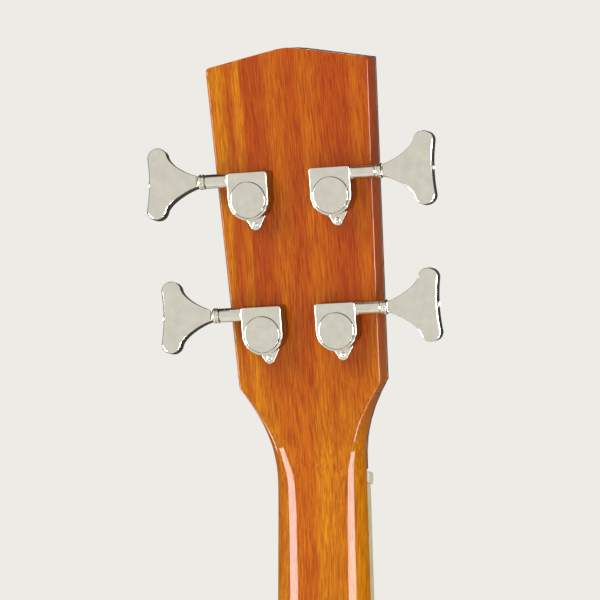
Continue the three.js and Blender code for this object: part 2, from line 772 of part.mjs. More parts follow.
function bridgeWood() {
  const low = -bridgeHalfWidth;
  const foot = bridgeFront - bridgeLength;
  const plan = new THREE.Shape();
  const roundX = bridgeHalfWidth - bridgeCornerRadius;
  const lowZ = foot + bridgeCornerRadius;
  const highZ = bridgeFront - bridgeCornerRadius;
  [[roundX, lowZ], [roundX, highZ], [-roundX, highZ], [-roundX, lowZ]].forEach(([x, z], i) => {
    plan.absarc(x, z, bridgeCornerRadius, rightAngle * (i - 1), rightAngle * i, false);
  });
  const wing = -seatGap - bridgeWingThickness;
  const taper = bridgeFlatHalfWidth + (bridgeHalfWidth - bridgeFlatHalfWidth) / 2;
  const front = new THREE.Shape([
    new THREE.Vector2(low - overrun, -seatGap), new THREE.Vector2(low - overrun, wing),
    new THREE.Vector2(-taper, wing), new THREE.Vector2(-bridgeFlatHalfWidth, bridgeFace),
    new THREE.Vector2(bridgeFlatHalfWidth, bridgeFace), new THREE.Vector2(taper, wing),
    new THREE.Vector2(overrun - low, wing), new THREE.Vector2(overrun - low, -seatGap),
  ]);
  const depth = bridgeLength + 2 * overrun;
  const profile = new THREE.ExtrudeGeometry(front, { depth, bevelEnabled: false });
  profile.translate(0, 0, foot - overrun);
  return slab(plan, bridgeFace, -seatGap, bendSteps).intersect(solid(profile));
}

const saddleCut = (margin, y0, y1) => block(-saddleHalfLength - margin, saddleHalfLength + margin, y0, y1,
  -saddleThickness / 2 - margin, saddleThickness / 2 + margin)
  .rotate([0, -THREE.MathUtils.radToDeg(saddleSlant), 0]).translate([0, 0, -scaleLength]);
const saddleFloor = bridgeFace + saddleSeatDepth;
const bridge = bridgeWood().subtract(saddleCut(seatGap, bridgeFace - overrun, saddleFloor + seatGap));
piece(instrument, 'bridge', rosewood, pinHoles(bridge, bridgeFace - overrun, overrun));

const saddleStringBottom = nutStringBottom - 2 * (actionAtTwelfth - nutStringLift);
const saddleFace = saddleStringBottom + seatGap;
piece(instrument, 'saddle', ivory, saddleCut(0, saddleFace, saddleFloor));

// The plate under the bridge fills the wedge between the lower legs of the X brace and no more.
const bridgeFoot = bridgeFront - bridgeLength;
const legMargin = (braceHalfWidth + seatGap) / Math.cos(crossAngle);
const wedgeHalf = (crossCentre - bridgeFoot + overrun) * Math.tan(crossAngle) - legMargin;
const wedge = new THREE.Shape([
  new THREE.Vector2(0, crossCentre - legMargin / Math.tan(crossAngle)),
  new THREE.Vector2(-wedgeHalf, bridgeFoot - overrun), new THREE.Vector2(wedgeHalf, bridgeFoot - overrun),
]);
const bridgePlate = block(-bridgePlateHalfWidth, bridgePlateHalfWidth, underTop,
  underTop + bridgePlateThickness, bridgeFoot, bridgeFront).intersect(slab(wedge, 0, depthAtNeck));
piece(instrument, 'bridge_plate', paleWood, pinHoles(bridgePlate, 0, underTop * 3));

// Bridge pins, grooved on the saddle side for the string

function stringInHole(diameter) {
  return pinRow + pinHoleRadius - seatGap - diameter / 2;
}

stringNames.forEach((name, i) => {
  const x = stringX(i, saddleStringSpacing);
  const seat = bridgeFace - seatGap;
  const headTop = seat - pinHeadHeight;
  const pin = turned([
    [0, headTop], [pinHeadRadius * 0.6, headTop + pinHeadHeight * 0.12],
    [pinHeadRadius, headTop + pinHeadHeight / 2], [pinHeadRadius * 0.85, seat],
    [pinRadius, seat], [pinTipRadius, seat + pinBelow], [0, seat + pinBelow],
  ], smallSides).translate([x, 0, pinRow]);
  const half = stringDiameters[i] / 2 + seatGap;
  const groove = block(x - half, x + half, headTop - overrun, seat + pinBelow + overrun,
    stringInHole(stringDiameters[i]) - half, pinRow + pinHeadRadius + overrun);
  piece(instrument, `bridge_pin_${name}`, ivory, pin.subtract(groove));
});

// End pin: a turned button with a plain shaft in the tail block

const endPin = turned([
  [0, -endPinLength], [endPinHeadRadius, -endPinLength],
  [endPinHeadRadius, -endPinLength + endPinHeadThickness], [endPinWaistRadius, -endPinLength / 2],
  [endPinWaistRadius, -endPinCollarRadius / 2], [endPinCollarRadius, -endPinCollarRadius / 3],
  [endPinCollarRadius, -seatGap], [endPinShaftRadius, -seatGap],
  [endPinShaftRadius, endPinShaftLength], [0, endPinShaftLength],
]).rotate([90, 0, 0]).translate([0, endPinHeight, bodyEnd]);
piece(instrument, 'end_pin', rosewood, endPin);

// Tuners: each is built for the treble side and mirrored for the bass side

const wormLead = (fullTurn * wheelPitchRadius) / wheelTeeth;
const lidSeat = housingHeight - lidSeatDepth;
const keyStart = sleeveEnd + runGap + collarLength + runGap;

function housingShape() {
  const shape = new THREE.Shape();
  shape.moveTo(-housingHalfWidth, housingTop);
  shape.lineTo(-housingHalfWidth, 0);
  shape.absarc(0, 0, housingHalfWidth, Math.PI, fullTurn, false);
  shape.lineTo(housingHalfWidth, housingTop);
  return shape;
}

function tabShape() {
  const shape = new THREE.Shape();
  shape.moveTo(tabHalfWidth, -housingHalfWidth * 0.6);
  shape.lineTo(-tabHalfWidth, -housingHalfWidth * 0.6);
  shape.lineTo(-tabTipRadius, tabTipRadius - tabTip);
  shape.absarc(0, tabTipRadius - tabTip, tabTipRadius, Math.PI, fullTurn, false);
  return shape;
}

function alongWorm(profile, sides = smallSides) {
  return turnedX(profile, sides).translate([0, wormHeight, wormOffset]);
}

function housingBody() {
  const floorTop = seatGap + housingFloor;
  const cavity = wheelTipRadius + runGap;
  const bore = wormTipRadius + runGap;
  const journal = farJournalRadius + runGap;
  const wormEnd = -threadHalfLength - runGap;
  const journalEnd = wormEnd - farJournalLength - runGap;
  return slab(housingShape(), seatGap, housingHeight, arcSteps)
    .add(slab(tabShape(), seatGap, seatGap + tabThickness, bendSteps))
    .add(alongWorm([[0, 0], [sleeveRadius, 0], [sleeveRadius, sleeveEnd], [0, sleeveEnd]], roundSides))
    .subtract(cylinderY(journalRadius + runGap, -overrun, housingHeight / 2))
    .subtract(turned([[0, floorTop], [cavity, floorTop], [cavity, lidSeat], [lidRadius + seatGap, lidSeat],
      [lidRadius + seatGap, housingHeight + overrun], [0, housingHeight + overrun]], 2 * smallSides))
    .subtract(alongWorm([[0, journalEnd], [journal, journalEnd], [journal, wormEnd], [bore, wormEnd],
      [bore, sleeveEnd + overrun], [0, sleeveEnd + overrun]]));
}

// The worm's thread: its axial profile, carried round and shifted by one lead in each turn.
function wormThread() {
  const profile = [[-threadTipHalf, wormTipRadius], [threadTipHalf, wormTipRadius],
    [threadRootHalf, wormRootRadius], [wormLead - threadRootHalf, wormRootRadius]];
  const steps = smallSides;
  const size = profile.length;
  const rows = size * (threadTurns + 2) + 1;
  const start = -wormLead * ((threadTurns + 2) / 2);
  const points = [];
  for (let i = 0; i < steps; i += 1) {
    const angle = -rightAngle + (fullTurn * i) / steps;
    for (let j = 0; j < rows; j += 1) {
      const [along, radius] = profile[j % size];
      const x = start + wormLead * (Math.floor(j / size) + i / steps) + along;
      points.push(new THREE.Vector3(x, radius * Math.cos(angle), radius * Math.sin(angle)));
    }
  }
  const at = (i, j) => (i < steps ? i * rows + j : j + size);
  const triangles = [];
  for (let i = 0; i < steps; i += 1) {
    for (let j = 0; j + 1 < rows - (i === steps - 1 ? size : 0); j += 1) {
      triangles.push(at(i, j), at(i, j + 1), at(i + 1, j + 1), at(i, j), at(i + 1, j + 1), at(i + 1, j));
    }
  }
  const last = rows - 1;
  const around = Array.from({ length: steps }, (unused, i) => i);
  const lead = Array.from({ length: size }, (unused, k) => k);
  const firstLoop = [...around.map((i) => at(i, 0)), ...lead.map((k) => size - k)];
  const lastLoop = [...around.map((i) => at(i, last)), ...lead.map((k) => at(steps - 1, last - 1 - k))];
  const ends = [start - wormLead, wormLead - start];
  return { points, triangles, loops: [firstLoop, lastLoop.reverse()], ends };
}

function wormSolid() {
  const { points, triangles, loops, ends } = wormThread();
  loops.forEach((loop, which) => {
    const centre = points.length;
    points.push(new THREE.Vector3(ends[which], 0, 0));
    loop.forEach((id, k) => triangles.push(centre, id, loop[(k + 1) % loop.length]));
  });
  const geometry = new THREE.BufferGeometry().setFromPoints(points);
  geometry.setIndex(triangles);
  const trim = turnedX([[0, -threadHalfLength], [wormTipRadius + overrun, -threadHalfLength],
    [wormTipRadius + overrun, threadHalfLength], [0, threadHalfLength]], smallSides);
  return solid(geometry).intersect(trim);
}

function wormShaft() {
  const sink = threadTipHalf;
  const farEnd = -threadHalfLength - farJournalLength;
  const collarStart = sleeveEnd + runGap;
  const collarEnd = collarStart + collarLength;
  const far = turnedX([[0, farEnd], [farJournalRadius, farEnd], [farJournalRadius, sink - threadHalfLength],
    [0, sink - threadHalfLength]], smallSides);
  const near = turnedX([[0, threadHalfLength - sink], [shaftRadius, threadHalfLength - sink],
    [shaftRadius, collarStart], [collarRadius, collarStart], [collarRadius, collarEnd],
    [shaftTipRadius, collarEnd], [shaftTipRadius, collarEnd + shaftTipLength],
    [0, collarEnd + shaftTipLength]], smallSides);
  return wormSolid().add(far).add(near).translate([0, wormHeight, wormOffset]);
}

// Worm wheel: straight-sided teeth turned slightly along the face, to lie in the worm's thread.
function wheelBody() {
  const outlinePoints = [];
  for (let i = 0; i < wheelTeeth; i += 1) {
    const middle = rightAngle + (fullTurn * i) / wheelTeeth;
    [[wheelRootRadius, -toothRootHalf], [wheelTipRadius, -toothTipHalf], [wheelTipRadius, toothTipHalf],
      [wheelRootRadius, toothRootHalf]].forEach(([radius, half]) => {
      const angle = middle + half / radius;
      outlinePoints.push(new THREE.Vector2(radius * Math.cos(angle), radius * Math.sin(angle)));
    });
  }
  const shape = new THREE.Shape(outlinePoints);
  shape.holes.push(new THREE.Path().absarc(0, 0, wheelSeatRadius + seatGap, 0, fullTurn, true));
  const geometry = new THREE.ExtrudeGeometry(shape,
    { depth: wheelFace, bevelEnabled: false, curveSegments: arcSteps });
  geometry.translate(0, 0, -wheelFace / 2);
  const slope = wormLead / (fullTurn * (wormOffset - wheelPitchRadius)) / wheelPitchRadius;
  const places = geometry.attributes.position;
  const place = new THREE.Vector3();
  for (let i = 0; i < places.count; i += 1) {
    place.fromBufferAttribute(places, i);
    place.applyAxisAngle(new THREE.Vector3(0, 0, 1), place.z * slope);
    places.setXYZ(i, place.x, place.y, place.z);
  }
  geometry.rotateX(rightAngle);
  return solid(geometry).translate([0, wormHeight, 0]);
}

function keyBody(rest) {
  const lobeX = keyLength - keyLobeRadius;
  const lobeZ = keyHalfSpan - keyLobeRadius;
  const earX = lobeX + keyLobeRadius * Math.cos(keyLobeStart);
  const earZ = lobeZ - keyLobeRadius * Math.sin(keyLobeStart);
  const swellX = earX + keyEarRun * Math.sin(keyLobeStart);
  const swellZ = earZ + keyEarRun * Math.cos(keyLobeStart);
  const shape = new THREE.Shape();
  shape.moveTo(0, -keyStemHalf);
  shape.bezierCurveTo(keyLength * 0.1, -keyStemHalf, swellX, -swellZ, earX, -earZ);
  shape.absarc(lobeX, -lobeZ, keyLobeRadius, keyLobeStart, Math.PI * 1.98, false);
  shape.quadraticCurveTo(keyLength - 2 * keyHollow, 0, lobeX + keyLobeRadius, lobeZ);
  shape.absarc(lobeX, lobeZ, keyLobeRadius, Math.PI * 0.02, fullTurn - keyLobeStart, false);
  shape.bezierCurveTo(swellX, swellZ, keyLength * 0.1, keyStemHalf, 0, keyStemHalf);
  const geometry = new THREE.ExtrudeGeometry(shape, {
    depth: keyThickness - 2 * keyBevel, bevelThickness: keyBevel, bevelSize: keyBevel, bevelOffset: -keyBevel,
    bevelSegments: 1, curveSegments: keyCurveSteps,
  });
  geometry.rotateX(rightAngle);
  const bore = turnedX([[0, -overrun], [shaftTipRadius + seatGap, -overrun],
    [shaftTipRadius + seatGap, shaftTipLength + seatGap], [0, shaftTipLength + seatGap]], smallSides);
  return solid(geometry).translate([0, keyThickness / 2 - keyBevel, 0]).subtract(bore).rotate([rest, 0, 0])
    .translate([keyStart, wormHeight, wormOffset]);
}

const postFront = -headThickness + veneerFace - seatGap;
const bushingFace = postFront - washerThickness - hexThickness;
const postTop = postFront - postHeight;

function postBody() {
  const wheelUnder = wormHeight - wheelFace / 2 - seatGap;
  const wheelOver = wormHeight + wheelFace / 2 + wheelSeatOver;
  const waistStart = bushingFace - seatGap;
  const waistEnd = postTop + postTopBand + postNeckHeight;
  const slot = block(-postSlotWidth / 2, postSlotWidth / 2, postTop - overrun, postTop + postSlotDepth,
    -postTopRadius - overrun, postTopRadius + overrun);
  return turned([
    [0, postTop], [postTopRadius - postNeckHeight / 2, postTop],
    [postTopRadius, postTop + postNeckHeight / 2], [postTopRadius, postTop + postTopBand],
    [postWaistRadius, waistEnd], [postWaistRadius, waistStart - postNeckHeight],
    [postRadius, waistStart], [postRadius, -seatGap], [journalRadius, -seatGap],
    [journalRadius, wheelUnder], [wheelSeatRadius, wheelUnder], [wheelSeatRadius, wheelOver], [0, wheelOver],
  ]).subtract(slot);
}

function bushingBody() {
  const hex = new THREE.CylinderGeometry(hexRadius, hexRadius, hexThickness, 6);
  hex.translate(0, postFront - washerThickness - hexThickness / 2, 0);
  const washerFace = postFront - washerThickness;
  const sleeveBack = postFront + bushingSleeve;
  return turned([[0, washerFace], [washerRadius, washerFace], [washerRadius, postFront],
    [bushingRadius, postFront], [bushingRadius, sleeveBack], [0, sleeveBack]])
    .add(solid(hex))
    .subtract(cylinderY(postRadius + runGap, bushingFace - overrun, sleeveBack + overrun));
}

tuners.forEach((tuner) => {
  const group = new THREE.Group();
  group.position.set(tuner.x, headThickness, tuner.up);
  headstock.add(group);
  const sided = (body) => (tuner.side > 0 ? body : body.mirror([1, 0, 0]));
  piece(group, `tuner_housing_${tuner.name}`, chrome, sided(housingBody()));
  piece(group, `tuner_cover_${tuner.name}`, chrome,
    cylinderY(lidRadius, lidSeat + seatGap, lidSeat + seatGap + lidThickness, 2 * smallSides));
  piece(group, `tuner_key_${tuner.name}`, chrome, sided(keyBody(tuner.keyRest)));
  piece(group, `worm_shaft_${tuner.name}`, chrome, sided(wormShaft()));
  piece(group, `string_post_${tuner.name}`, chrome, postBody());
  piece(group, `worm_wheel_${tuner.name}`, brass, sided(wheelBody()));
  piece(group, `post_bushing_${tuner.name}`, chrome, bushingBody());
});

// Strings: from the ball end under the bridge over saddle and nut to the windings on the post

function winding(tuner, diameter, from) {
  const turnRadius = postWaistRadius + windingGap + diameter / 2;
  const pitch = diameter + windingGap;
  const start = headThickness + bushingFace - seatGap - postNeckHeight - tuner.windingHeight - diameter / 2;
  const towards = new THREE.Vector2(from.x - tuner.x, from.y - tuner.up);
  const touch = Math.acos(turnRadius / towards.length());
  const handed = -tuner.side;
  const first = towards.angle() + handed * touch;
  const steps = Math.round(windingTurns * windingSteps);
  return Array.from({ length: steps + 1 }, (unused, i) => {
    const angle = first + (handed * fullTurn * i) / windingSteps;
    return fromHead(tuner.x + turnRadius * Math.cos(angle), start - (pitch * i) / windingSteps,
      tuner.up + turnRadius * Math.sin(angle));
  });
}

// The least distance between the surfaces of neighbouring turns.
function leastGap(points, diameter) {
  let least = Infinity;
  points.forEach((p, i) => {
    for (let j = i + windingSteps / 2; j < points.length; j += 1) {
      least = Math.min(least, p.distanceTo(points[j]) - diameter);
    }
  });
  return least;
}

stringNames.forEach((name, i) => {
  const diameter = stringDiameters[i];
  const tuner = tuners.find((each) => each.name === name);
  const nutX = stringX(i, nutStringSpacing);
  const endX = stringX(i, saddleStringSpacing);
  const tail = stringInHole(diameter);
  const overNut = nutStringBottom - diameter / 2;
  const onHead = new THREE.Vector3(nutX, overNut, nutDepth).sub(headstock.position)
    .applyEuler(new THREE.Euler(headTilt, 0, 0));
  const turns = winding(tuner, diameter, new THREE.Vector2(nutX, onHead.z));
  const route = rounded([
    new THREE.Vector3(endX, stringTail, tail),
    new THREE.Vector3(endX, bridgeFace - seatGap - diameter, tail),
    new THREE.Vector3(endX, saddleStringBottom - diameter / 2, saddlePlace(endX) - saddleThickness / 2),
    new THREE.Vector3(nutX, overNut, 0),
    new THREE.Vector3(nutX, overNut, nutDepth),
    turns[0],
  ], [bendRadius, saddleThickness / 4, nutDepth / 4, nutDepth / 4]);
  console.log(`string_${name}: least gap between turns ${leastGap(turns, diameter).toFixed(2)} mm`);
  piece(instrument, `string_${name}`, i < 3 ? bronze : steel,
    tube([...route.slice(0, -1), ...turns], diameter / 2, windingSides));
});

// The origin moves to the hanger's place, under the shoulders of the headstock.
const hangerHeight = 28;
const hangerDepth = 8;
const bassGuitar = new THREE.Group();
instrument.position.set(0, -hangerDepth, -hangerHeight);
bassGuitar.add(instrument);

export default bassGuitar;
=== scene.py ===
import json

import bmesh
import bpy
import numpy as np
from mathutils import Matrix


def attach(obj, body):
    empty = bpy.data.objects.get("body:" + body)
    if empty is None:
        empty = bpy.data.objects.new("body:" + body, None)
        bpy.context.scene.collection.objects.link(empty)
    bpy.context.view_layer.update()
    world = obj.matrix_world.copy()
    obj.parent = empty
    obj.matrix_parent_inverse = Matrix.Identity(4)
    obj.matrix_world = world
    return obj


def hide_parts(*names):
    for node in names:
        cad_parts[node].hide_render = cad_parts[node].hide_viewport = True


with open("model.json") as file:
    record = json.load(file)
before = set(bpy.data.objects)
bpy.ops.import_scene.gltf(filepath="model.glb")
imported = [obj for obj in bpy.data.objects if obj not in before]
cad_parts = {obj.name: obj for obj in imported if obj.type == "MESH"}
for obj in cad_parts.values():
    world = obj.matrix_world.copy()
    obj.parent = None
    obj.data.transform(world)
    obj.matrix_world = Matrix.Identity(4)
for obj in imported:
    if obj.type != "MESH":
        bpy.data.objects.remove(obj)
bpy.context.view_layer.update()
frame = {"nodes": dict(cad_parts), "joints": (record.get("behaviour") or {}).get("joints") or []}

# The headstock's own axes, taken from the axis of a string post.
# Sizes in the sections are millimetres: "across" is to the treble side, "up" runs along
# the headstock and "out" leaves its back face.
MM = 0.001
HEAD_ORIGIN = np.array([0.0, -8.0, -22.0])
LAYOUT_ORIGIN = np.array([0.0, -8.0, -28.0])
HEAD_THICKNESS = 14.0
JOINTS = {joint["name"]: joint for joint in frame["joints"]}
HEAD_OUT = np.array(JOINTS["post_turn_e"]["axis"], float)
HEAD_OUT /= np.linalg.norm(HEAD_OUT)
HEAD_UP = np.array([0.0, -HEAD_OUT[2], HEAD_OUT[1]])
HEAD_TILT = np.arctan2(HEAD_UP[1], HEAD_UP[2])


def on_head(points):
    """Points (across, out, up) of the headstock, in mm, moved to the row frame in metres."""
    points = np.asarray(points, float)
    across = points[..., :1] * np.array([1.0, 0.0, 0.0])
    return (HEAD_ORIGIN + across + points[..., 1:2] * HEAD_OUT + points[..., 2:3] * HEAD_UP) * MM


def on_layout(points):
    """Points (x, y, z) measured from the nut, in mm, moved to the row frame in metres."""
    return (np.asarray(points, float) + LAYOUT_ORIGIN) * MM


# Camera: a long lens behind the headstock, a little to the bass side and tipped by the
# roll of the picture. The point it turns about is the middle of the shoulder line.
CAMERA_SHOULDER = np.array([0.0, HEAD_THICKNESS, 42.0])
CAMERA_PITCH, CAMERA_YAW, CAMERA_ROLL = np.radians([4.18, -15.39, 4.2])
CAMERA_SHIFT = np.array([4.3, -39.64, -1384.29])
LENS_PIXELS, FRAME_PIXELS, SENSOR_WIDTH = 3000.0, 600.0, 36.0


def turn(axis, angle):
    return np.array(Matrix.Rotation(angle, 3, axis))


def show(name, data):
    """A new object with this data, in the scene."""
    made = bpy.data.objects.new(name, data)
    bpy.context.scene.collection.objects.link(made)
    return made


def stand(made, basis, place):
    """Turns an object to the axes of a basis and moves it to its place, in metres."""
    pose = np.eye(4)
    pose[:3, :3] = basis
    pose[:3, 3] = place
    made.matrix_world = Matrix(pose.tolist())


head_basis = np.stack([[-1.0, 0.0, 0.0], HEAD_UP, HEAD_OUT], axis=1)
head_to_lens = turn("Z", CAMERA_ROLL) @ turn("X", CAMERA_PITCH) @ turn("Y", CAMERA_YAW)
lens_to_row = head_basis @ head_to_lens.T
camera_data = bpy.data.cameras.new("photo_camera")
camera_data.sensor_width = SENSOR_WIDTH
camera_data.lens = LENS_PIXELS / FRAME_PIXELS * SENSOR_WIDTH
camera_data.clip_start, camera_data.clip_end = 0.05, 60.0
camera = show("photo_camera", camera_data)
stand(camera, lens_to_row, on_head(CAMERA_SHOULDER) - lens_to_row @ CAMERA_SHIFT * MM)
bpy.context.scene.camera = camera


# Studio: a pale paper floor under the hanging instrument that fades into a pale surround, and
# soft lamps. Two tall boxes beside the neck draw the two bright lines down its lacquer.
FLOOR_HEIGHT, FLOOR_HALF, FLOOR_FADE = -1.16, 5.0, (0.9, 3.2)
FLOOR_COLOUR, SURROUND_COLOUR, LIGHT_COLOUR, MIRRORED_COLOUR = "E4E2DC", "EDEBE6", "FFFFFF", "FBF9F2"
SURROUND_LIGHT = 0.6
MIRRORED_BEHIND, MIRRORED_RISE = ((-0.45, 0.4), (0.1, 0.74)), ((0.7, 0.95), (1.0, 0.1))


def linear(colour):
    """An sRGB hex colour as linear red, green, blue and a full alpha."""
    value = np.array([int(colour[i:i + 2], 16) for i in (0, 2, 4)]) / 255.0
    value = np.where(value <= 0.04045, value / 12.92, ((value + 0.055) / 1.055) ** 2.4)
    return (*value.tolist(), 1.0)


def add(tree, kind, inputs=None, **settings):
    """Adds a node with its settings. An input is linked if it is another node's output, and set
    to a constant if not."""
    made = tree.nodes.new("ShaderNode" + kind)
    for key, value in settings.items():
        setattr(made, key, value)
    for key, value in (inputs or {}).items():
        if isinstance(value, bpy.types.NodeSocket):
            tree.links.new(value, made.inputs[key])
        else:
            made.inputs[key].default_value = value
    return made


def scalar(tree, operation, *inputs):
    """One step of arithmetic on numbers, as a node."""
    return add(tree, "Math", dict(enumerate(inputs)), operation=operation).outputs[0]


def vector(tree, operation, *inputs, result="Vector"):
    """One step of arithmetic on vectors or colours."""
    return add(tree, "VectorMath", dict(enumerate(inputs)), operation=operation).outputs[result]


def remap(tree, value, source=(0.0, 1.0), target=(0.0, 1.0), smooth=False):
    """A number carried from one range to the other and held at its ends."""
    ends = {"From Min": source[0], "From Max": source[1], "To Min": target[0], "To Max": target[1]}
    kind = "SMOOTHSTEP" if smooth else "LINEAR"
    return add(tree, "MapRange", {"Value": value, **ends}, interpolation_type=kind).outputs[0]


def blend_shaders(tree, share, first, second):
    return add(tree, "MixShader", {0: share, 1: first, 2: second}).outputs[0]


def coordinates(tree, kind="Object"):
    return add(tree, "TexCoord").outputs[kind]


def split(tree, place):
    return add(tree, "SeparateXYZ", {0: place}).outputs


def new_material(name):
    """An empty node material, and its tree."""
    material = bpy.data.materials.new(name)
    material.use_nodes = True
    material.node_tree.nodes.clear()
    return material, material.node_tree


def floor_material():
    """Matt paper, seen from above only, and less and less of it away from the instrument."""
    material, tree = new_material("studio_paper")
    paper = add(tree, "BsdfDiffuse", {"Color": linear(FLOOR_COLOUR)}).outputs[0]
    clear = add(tree, "BsdfTransparent").outputs[0]
    away = vector(tree, "DISTANCE", coordinates(tree), (0.0, 0.0, FLOOR_HEIGHT), result="Value")
    below = add(tree, "NewGeometry").outputs["Backfacing"]
    gone = scalar(tree, "MAXIMUM", remap(tree, away, FLOOR_FADE, smooth=True), below)
    add(tree, "OutputMaterial", {"Surface": blend_shaders(tree, gone, paper, clear)})
    return material


def make_floor():
    mesh = bpy.data.meshes.new("floor")
    ring = np.array([[-1, -1], [1, -1], [1, 1], [-1, 1]]) * FLOOR_HALF
    mesh.from_pydata([(x, y, FLOOR_HEIGHT) for x, y in ring.tolist()], [], [(0, 1, 2, 3)])
    mesh.materials.append(floor_material())
    show("floor", mesh)


def make_surround():
    """The room's light: what the lens and bright metal see is pale, dimmer below and in front."""
    world = bpy.data.worlds.new("surround")
    bpy.context.scene.world = world
    world.use_nodes = True
    tree = world.node_tree
    tree.nodes.clear()
    ray = add(tree, "LightPath").outputs
    heading = split(tree, coordinates(tree, "Generated"))
    behind = remap(tree, heading["Y"], *MIRRORED_BEHIND, smooth=True)
    level = remap(tree, scalar(tree, "ABSOLUTE", heading["Z"]), *MIRRORED_RISE, smooth=True)
    shades = ((SURROUND_COLOUR, 1.0), (LIGHT_COLOUR, SURROUND_LIGHT),
              (MIRRORED_COLOUR, scalar(tree, "MULTIPLY", behind, level)))
    seen, lit, mirrored = (add(tree, "Background", {"Color": linear(colour), "Strength": strength})
                           .outputs[0] for colour, strength in shades)
    gloss = scalar(tree, "MAXIMUM", ray["Is Glossy Ray"], ray["Is Transmission Ray"])
    light = blend_shaders(tree, gloss, lit, mirrored)
    all_rays = blend_shaders(tree, ray["Is Camera Ray"], light, seen)
    add(tree, "OutputWorld", {"Surface": all_rays})


def lamp(name, place, target, size, power, lights=True, shines=True):
    """A rectangular soft box at place that faces target: size is (width, height) in metres. One
    that lights gives plain light, and one that shines is seen in gloss and metal."""
    data = bpy.data.lights.new(name, "AREA")
    data.shape = "RECTANGLE"
    data.size, data.size_y = size
    data.energy = power
    box = show(name, data)
    box.visible_diffuse = lights
    box.visible_glossy = shines
    away = np.asarray(place, float) - np.asarray(target, float)
    away /= np.linalg.norm(away)
    side = np.cross([0.0, 0.0, 1.0], away)
    side /= np.linalg.norm(side)
    stand(box, np.stack([side, np.cross(away, side), away], axis=1), place)


HEAD_MIDDLE = (0.0, 0.02, 0.06)
NECK_MIDDLE = (0.0, 0.0, -0.08)
make_floor()
make_surround()
lamp("key_box", (0.9, 1.9, 1.3), HEAD_MIDDLE, (1.3, 1.3), 30.0, shines=False)
lamp("front_box", (0.9, -2.1, 0.9), (0.0, 0.0, -0.4), (1.5, 1.5), 26.0, shines=False)
lamp("left_strip", (1.278, 0.963, -0.3), NECK_MIDDLE, (0.6, 0.9), 29.0, lights=False)
lamp("left_foot", (1.6, 0.0, -0.77), NECK_MIDDLE, (0.3, 0.5), 6.6, lights=False)
lamp("right_strip", (-1.357, 0.848, -0.3), NECK_MIDDLE, (0.78, 0.9), 38.0, lights=False)
lamp("right_foot", (-0.78, 0.45, -0.89), (0.0, 0.01, 0.0), (0.2, 0.24), 2.6, lights=False)
lamp("crest_lamp", (0.33, -1.21, 0.92), HEAD_MIDDLE, (0.2, 0.2), 1.3, lights=False)
lamp("low_fill", (-1.0, 0.75, -0.45), NECK_MIDDLE, (0.7, 0.7), 5.0, shines=False)
bpy.context.scene.view_settings.view_transform = "Standard"


# Body: bent sides, flat back and soundboard. All follow one outline, given as four curves
# from the neck to the tail as shares of the half width and the length, and mirrored.
BODY_TOP, BODY_LENGTH, BODY_HALF = -450.74, 520.0, 216.0
DEPTH_AT_NECK, DEPTH_AT_TAIL = 100.0, 125.0
BINDING_WIDTH, BINDING_DEPTH, SIDE_THICKNESS, SEAM = 2.2, 6.0, 2.5, 0.3
TOP_THICKNESS, BACK_THICKNESS = 3.5, 3.0
OUTLINE_SHARES = np.array([
    [[0, 0], [0.46, 0], [0.72, 0.07], [0.72, 0.2]],
    [[0.72, 0.2], [0.72, 0.285], [0.61, 0.32], [0.61, 0.4]],
    [[0.61, 0.4], [0.61, 0.5], [1, 0.56], [1, 0.735]],
    [[1, 0.735], [1, 0.89], [0.6, 1], [0, 1]],
])
HOLE_CENTRE, HOLE_RADIUS = -621.8, 50.0


def run_along(line):
    """How far along a line each of its points is."""
    return np.concatenate([[0.0], np.cumsum(np.linalg.norm(np.diff(line, axis=0), axis=1))])


def cubic(points, count=24):
    """A cubic curve through four control points: (1-t)^3 A + 3(1-t)^2 t B + 3(1-t) t^2 C + t^3 D."""
    t = np.linspace(0, 1, count)[:, None]
    a, b, c, d = np.array(points, float)
    return (1 - t) ** 3 * a + 3 * (1 - t) ** 2 * t * b + 3 * (1 - t) * t ** 2 * c + t ** 3 * d


def spread(points, count, closed=True):
    """The same line with count points, evenly spaced along its length."""
    line = np.vstack([points, points[:1]]) if closed else points
    run = run_along(line)
    at = np.linspace(0.0, run[-1], count + 1)[:-1] if closed else np.linspace(0.0, run[-1], count)
    return np.stack([np.interp(at, run, line[:, k]) for k in range(line.shape[1])], axis=1)


def body_outline(count=420):
    """Four cubic curves and their mirror, run round once."""
    half = np.vstack([cubic(curve, 200)[:-1] for curve in OUTLINE_SHARES] + [OUTLINE_SHARES[-1, -1]])
    half = np.stack([half[:, 0] * BODY_HALF, BODY_TOP - half[:, 1] * BODY_LENGTH], axis=1)
    left = half[-2:0:-1] * [-1, 1]
    return spread(np.vstack([half, left]), count)


def inward(outline):
    """Unit normals that point into a closed outline run clockwise seen along +Y."""
    along = np.roll(outline, -1, axis=0) - np.roll(outline, 1, axis=0)
    along /= np.linalg.norm(along, axis=1, keepdims=True)
    normal = np.stack([along[:, 1], -along[:, 0]], axis=1)
    ahead = np.roll(outline, -1, axis=0)
    area = np.sum(outline[:, 0] * ahead[:, 1] - outline[:, 1] * ahead[:, 0])
    return -normal if area > 0 else normal


def weld(mesh):
    """Merges doubles and turns every face outwards."""
    work = bmesh.new()
    work.from_mesh(mesh)
    bmesh.ops.remove_doubles(work, verts=work.verts, dist=2e-6)
    bmesh.ops.recalc_face_normals(work, faces=work.faces)
    work.to_mesh(mesh)
    work.free()


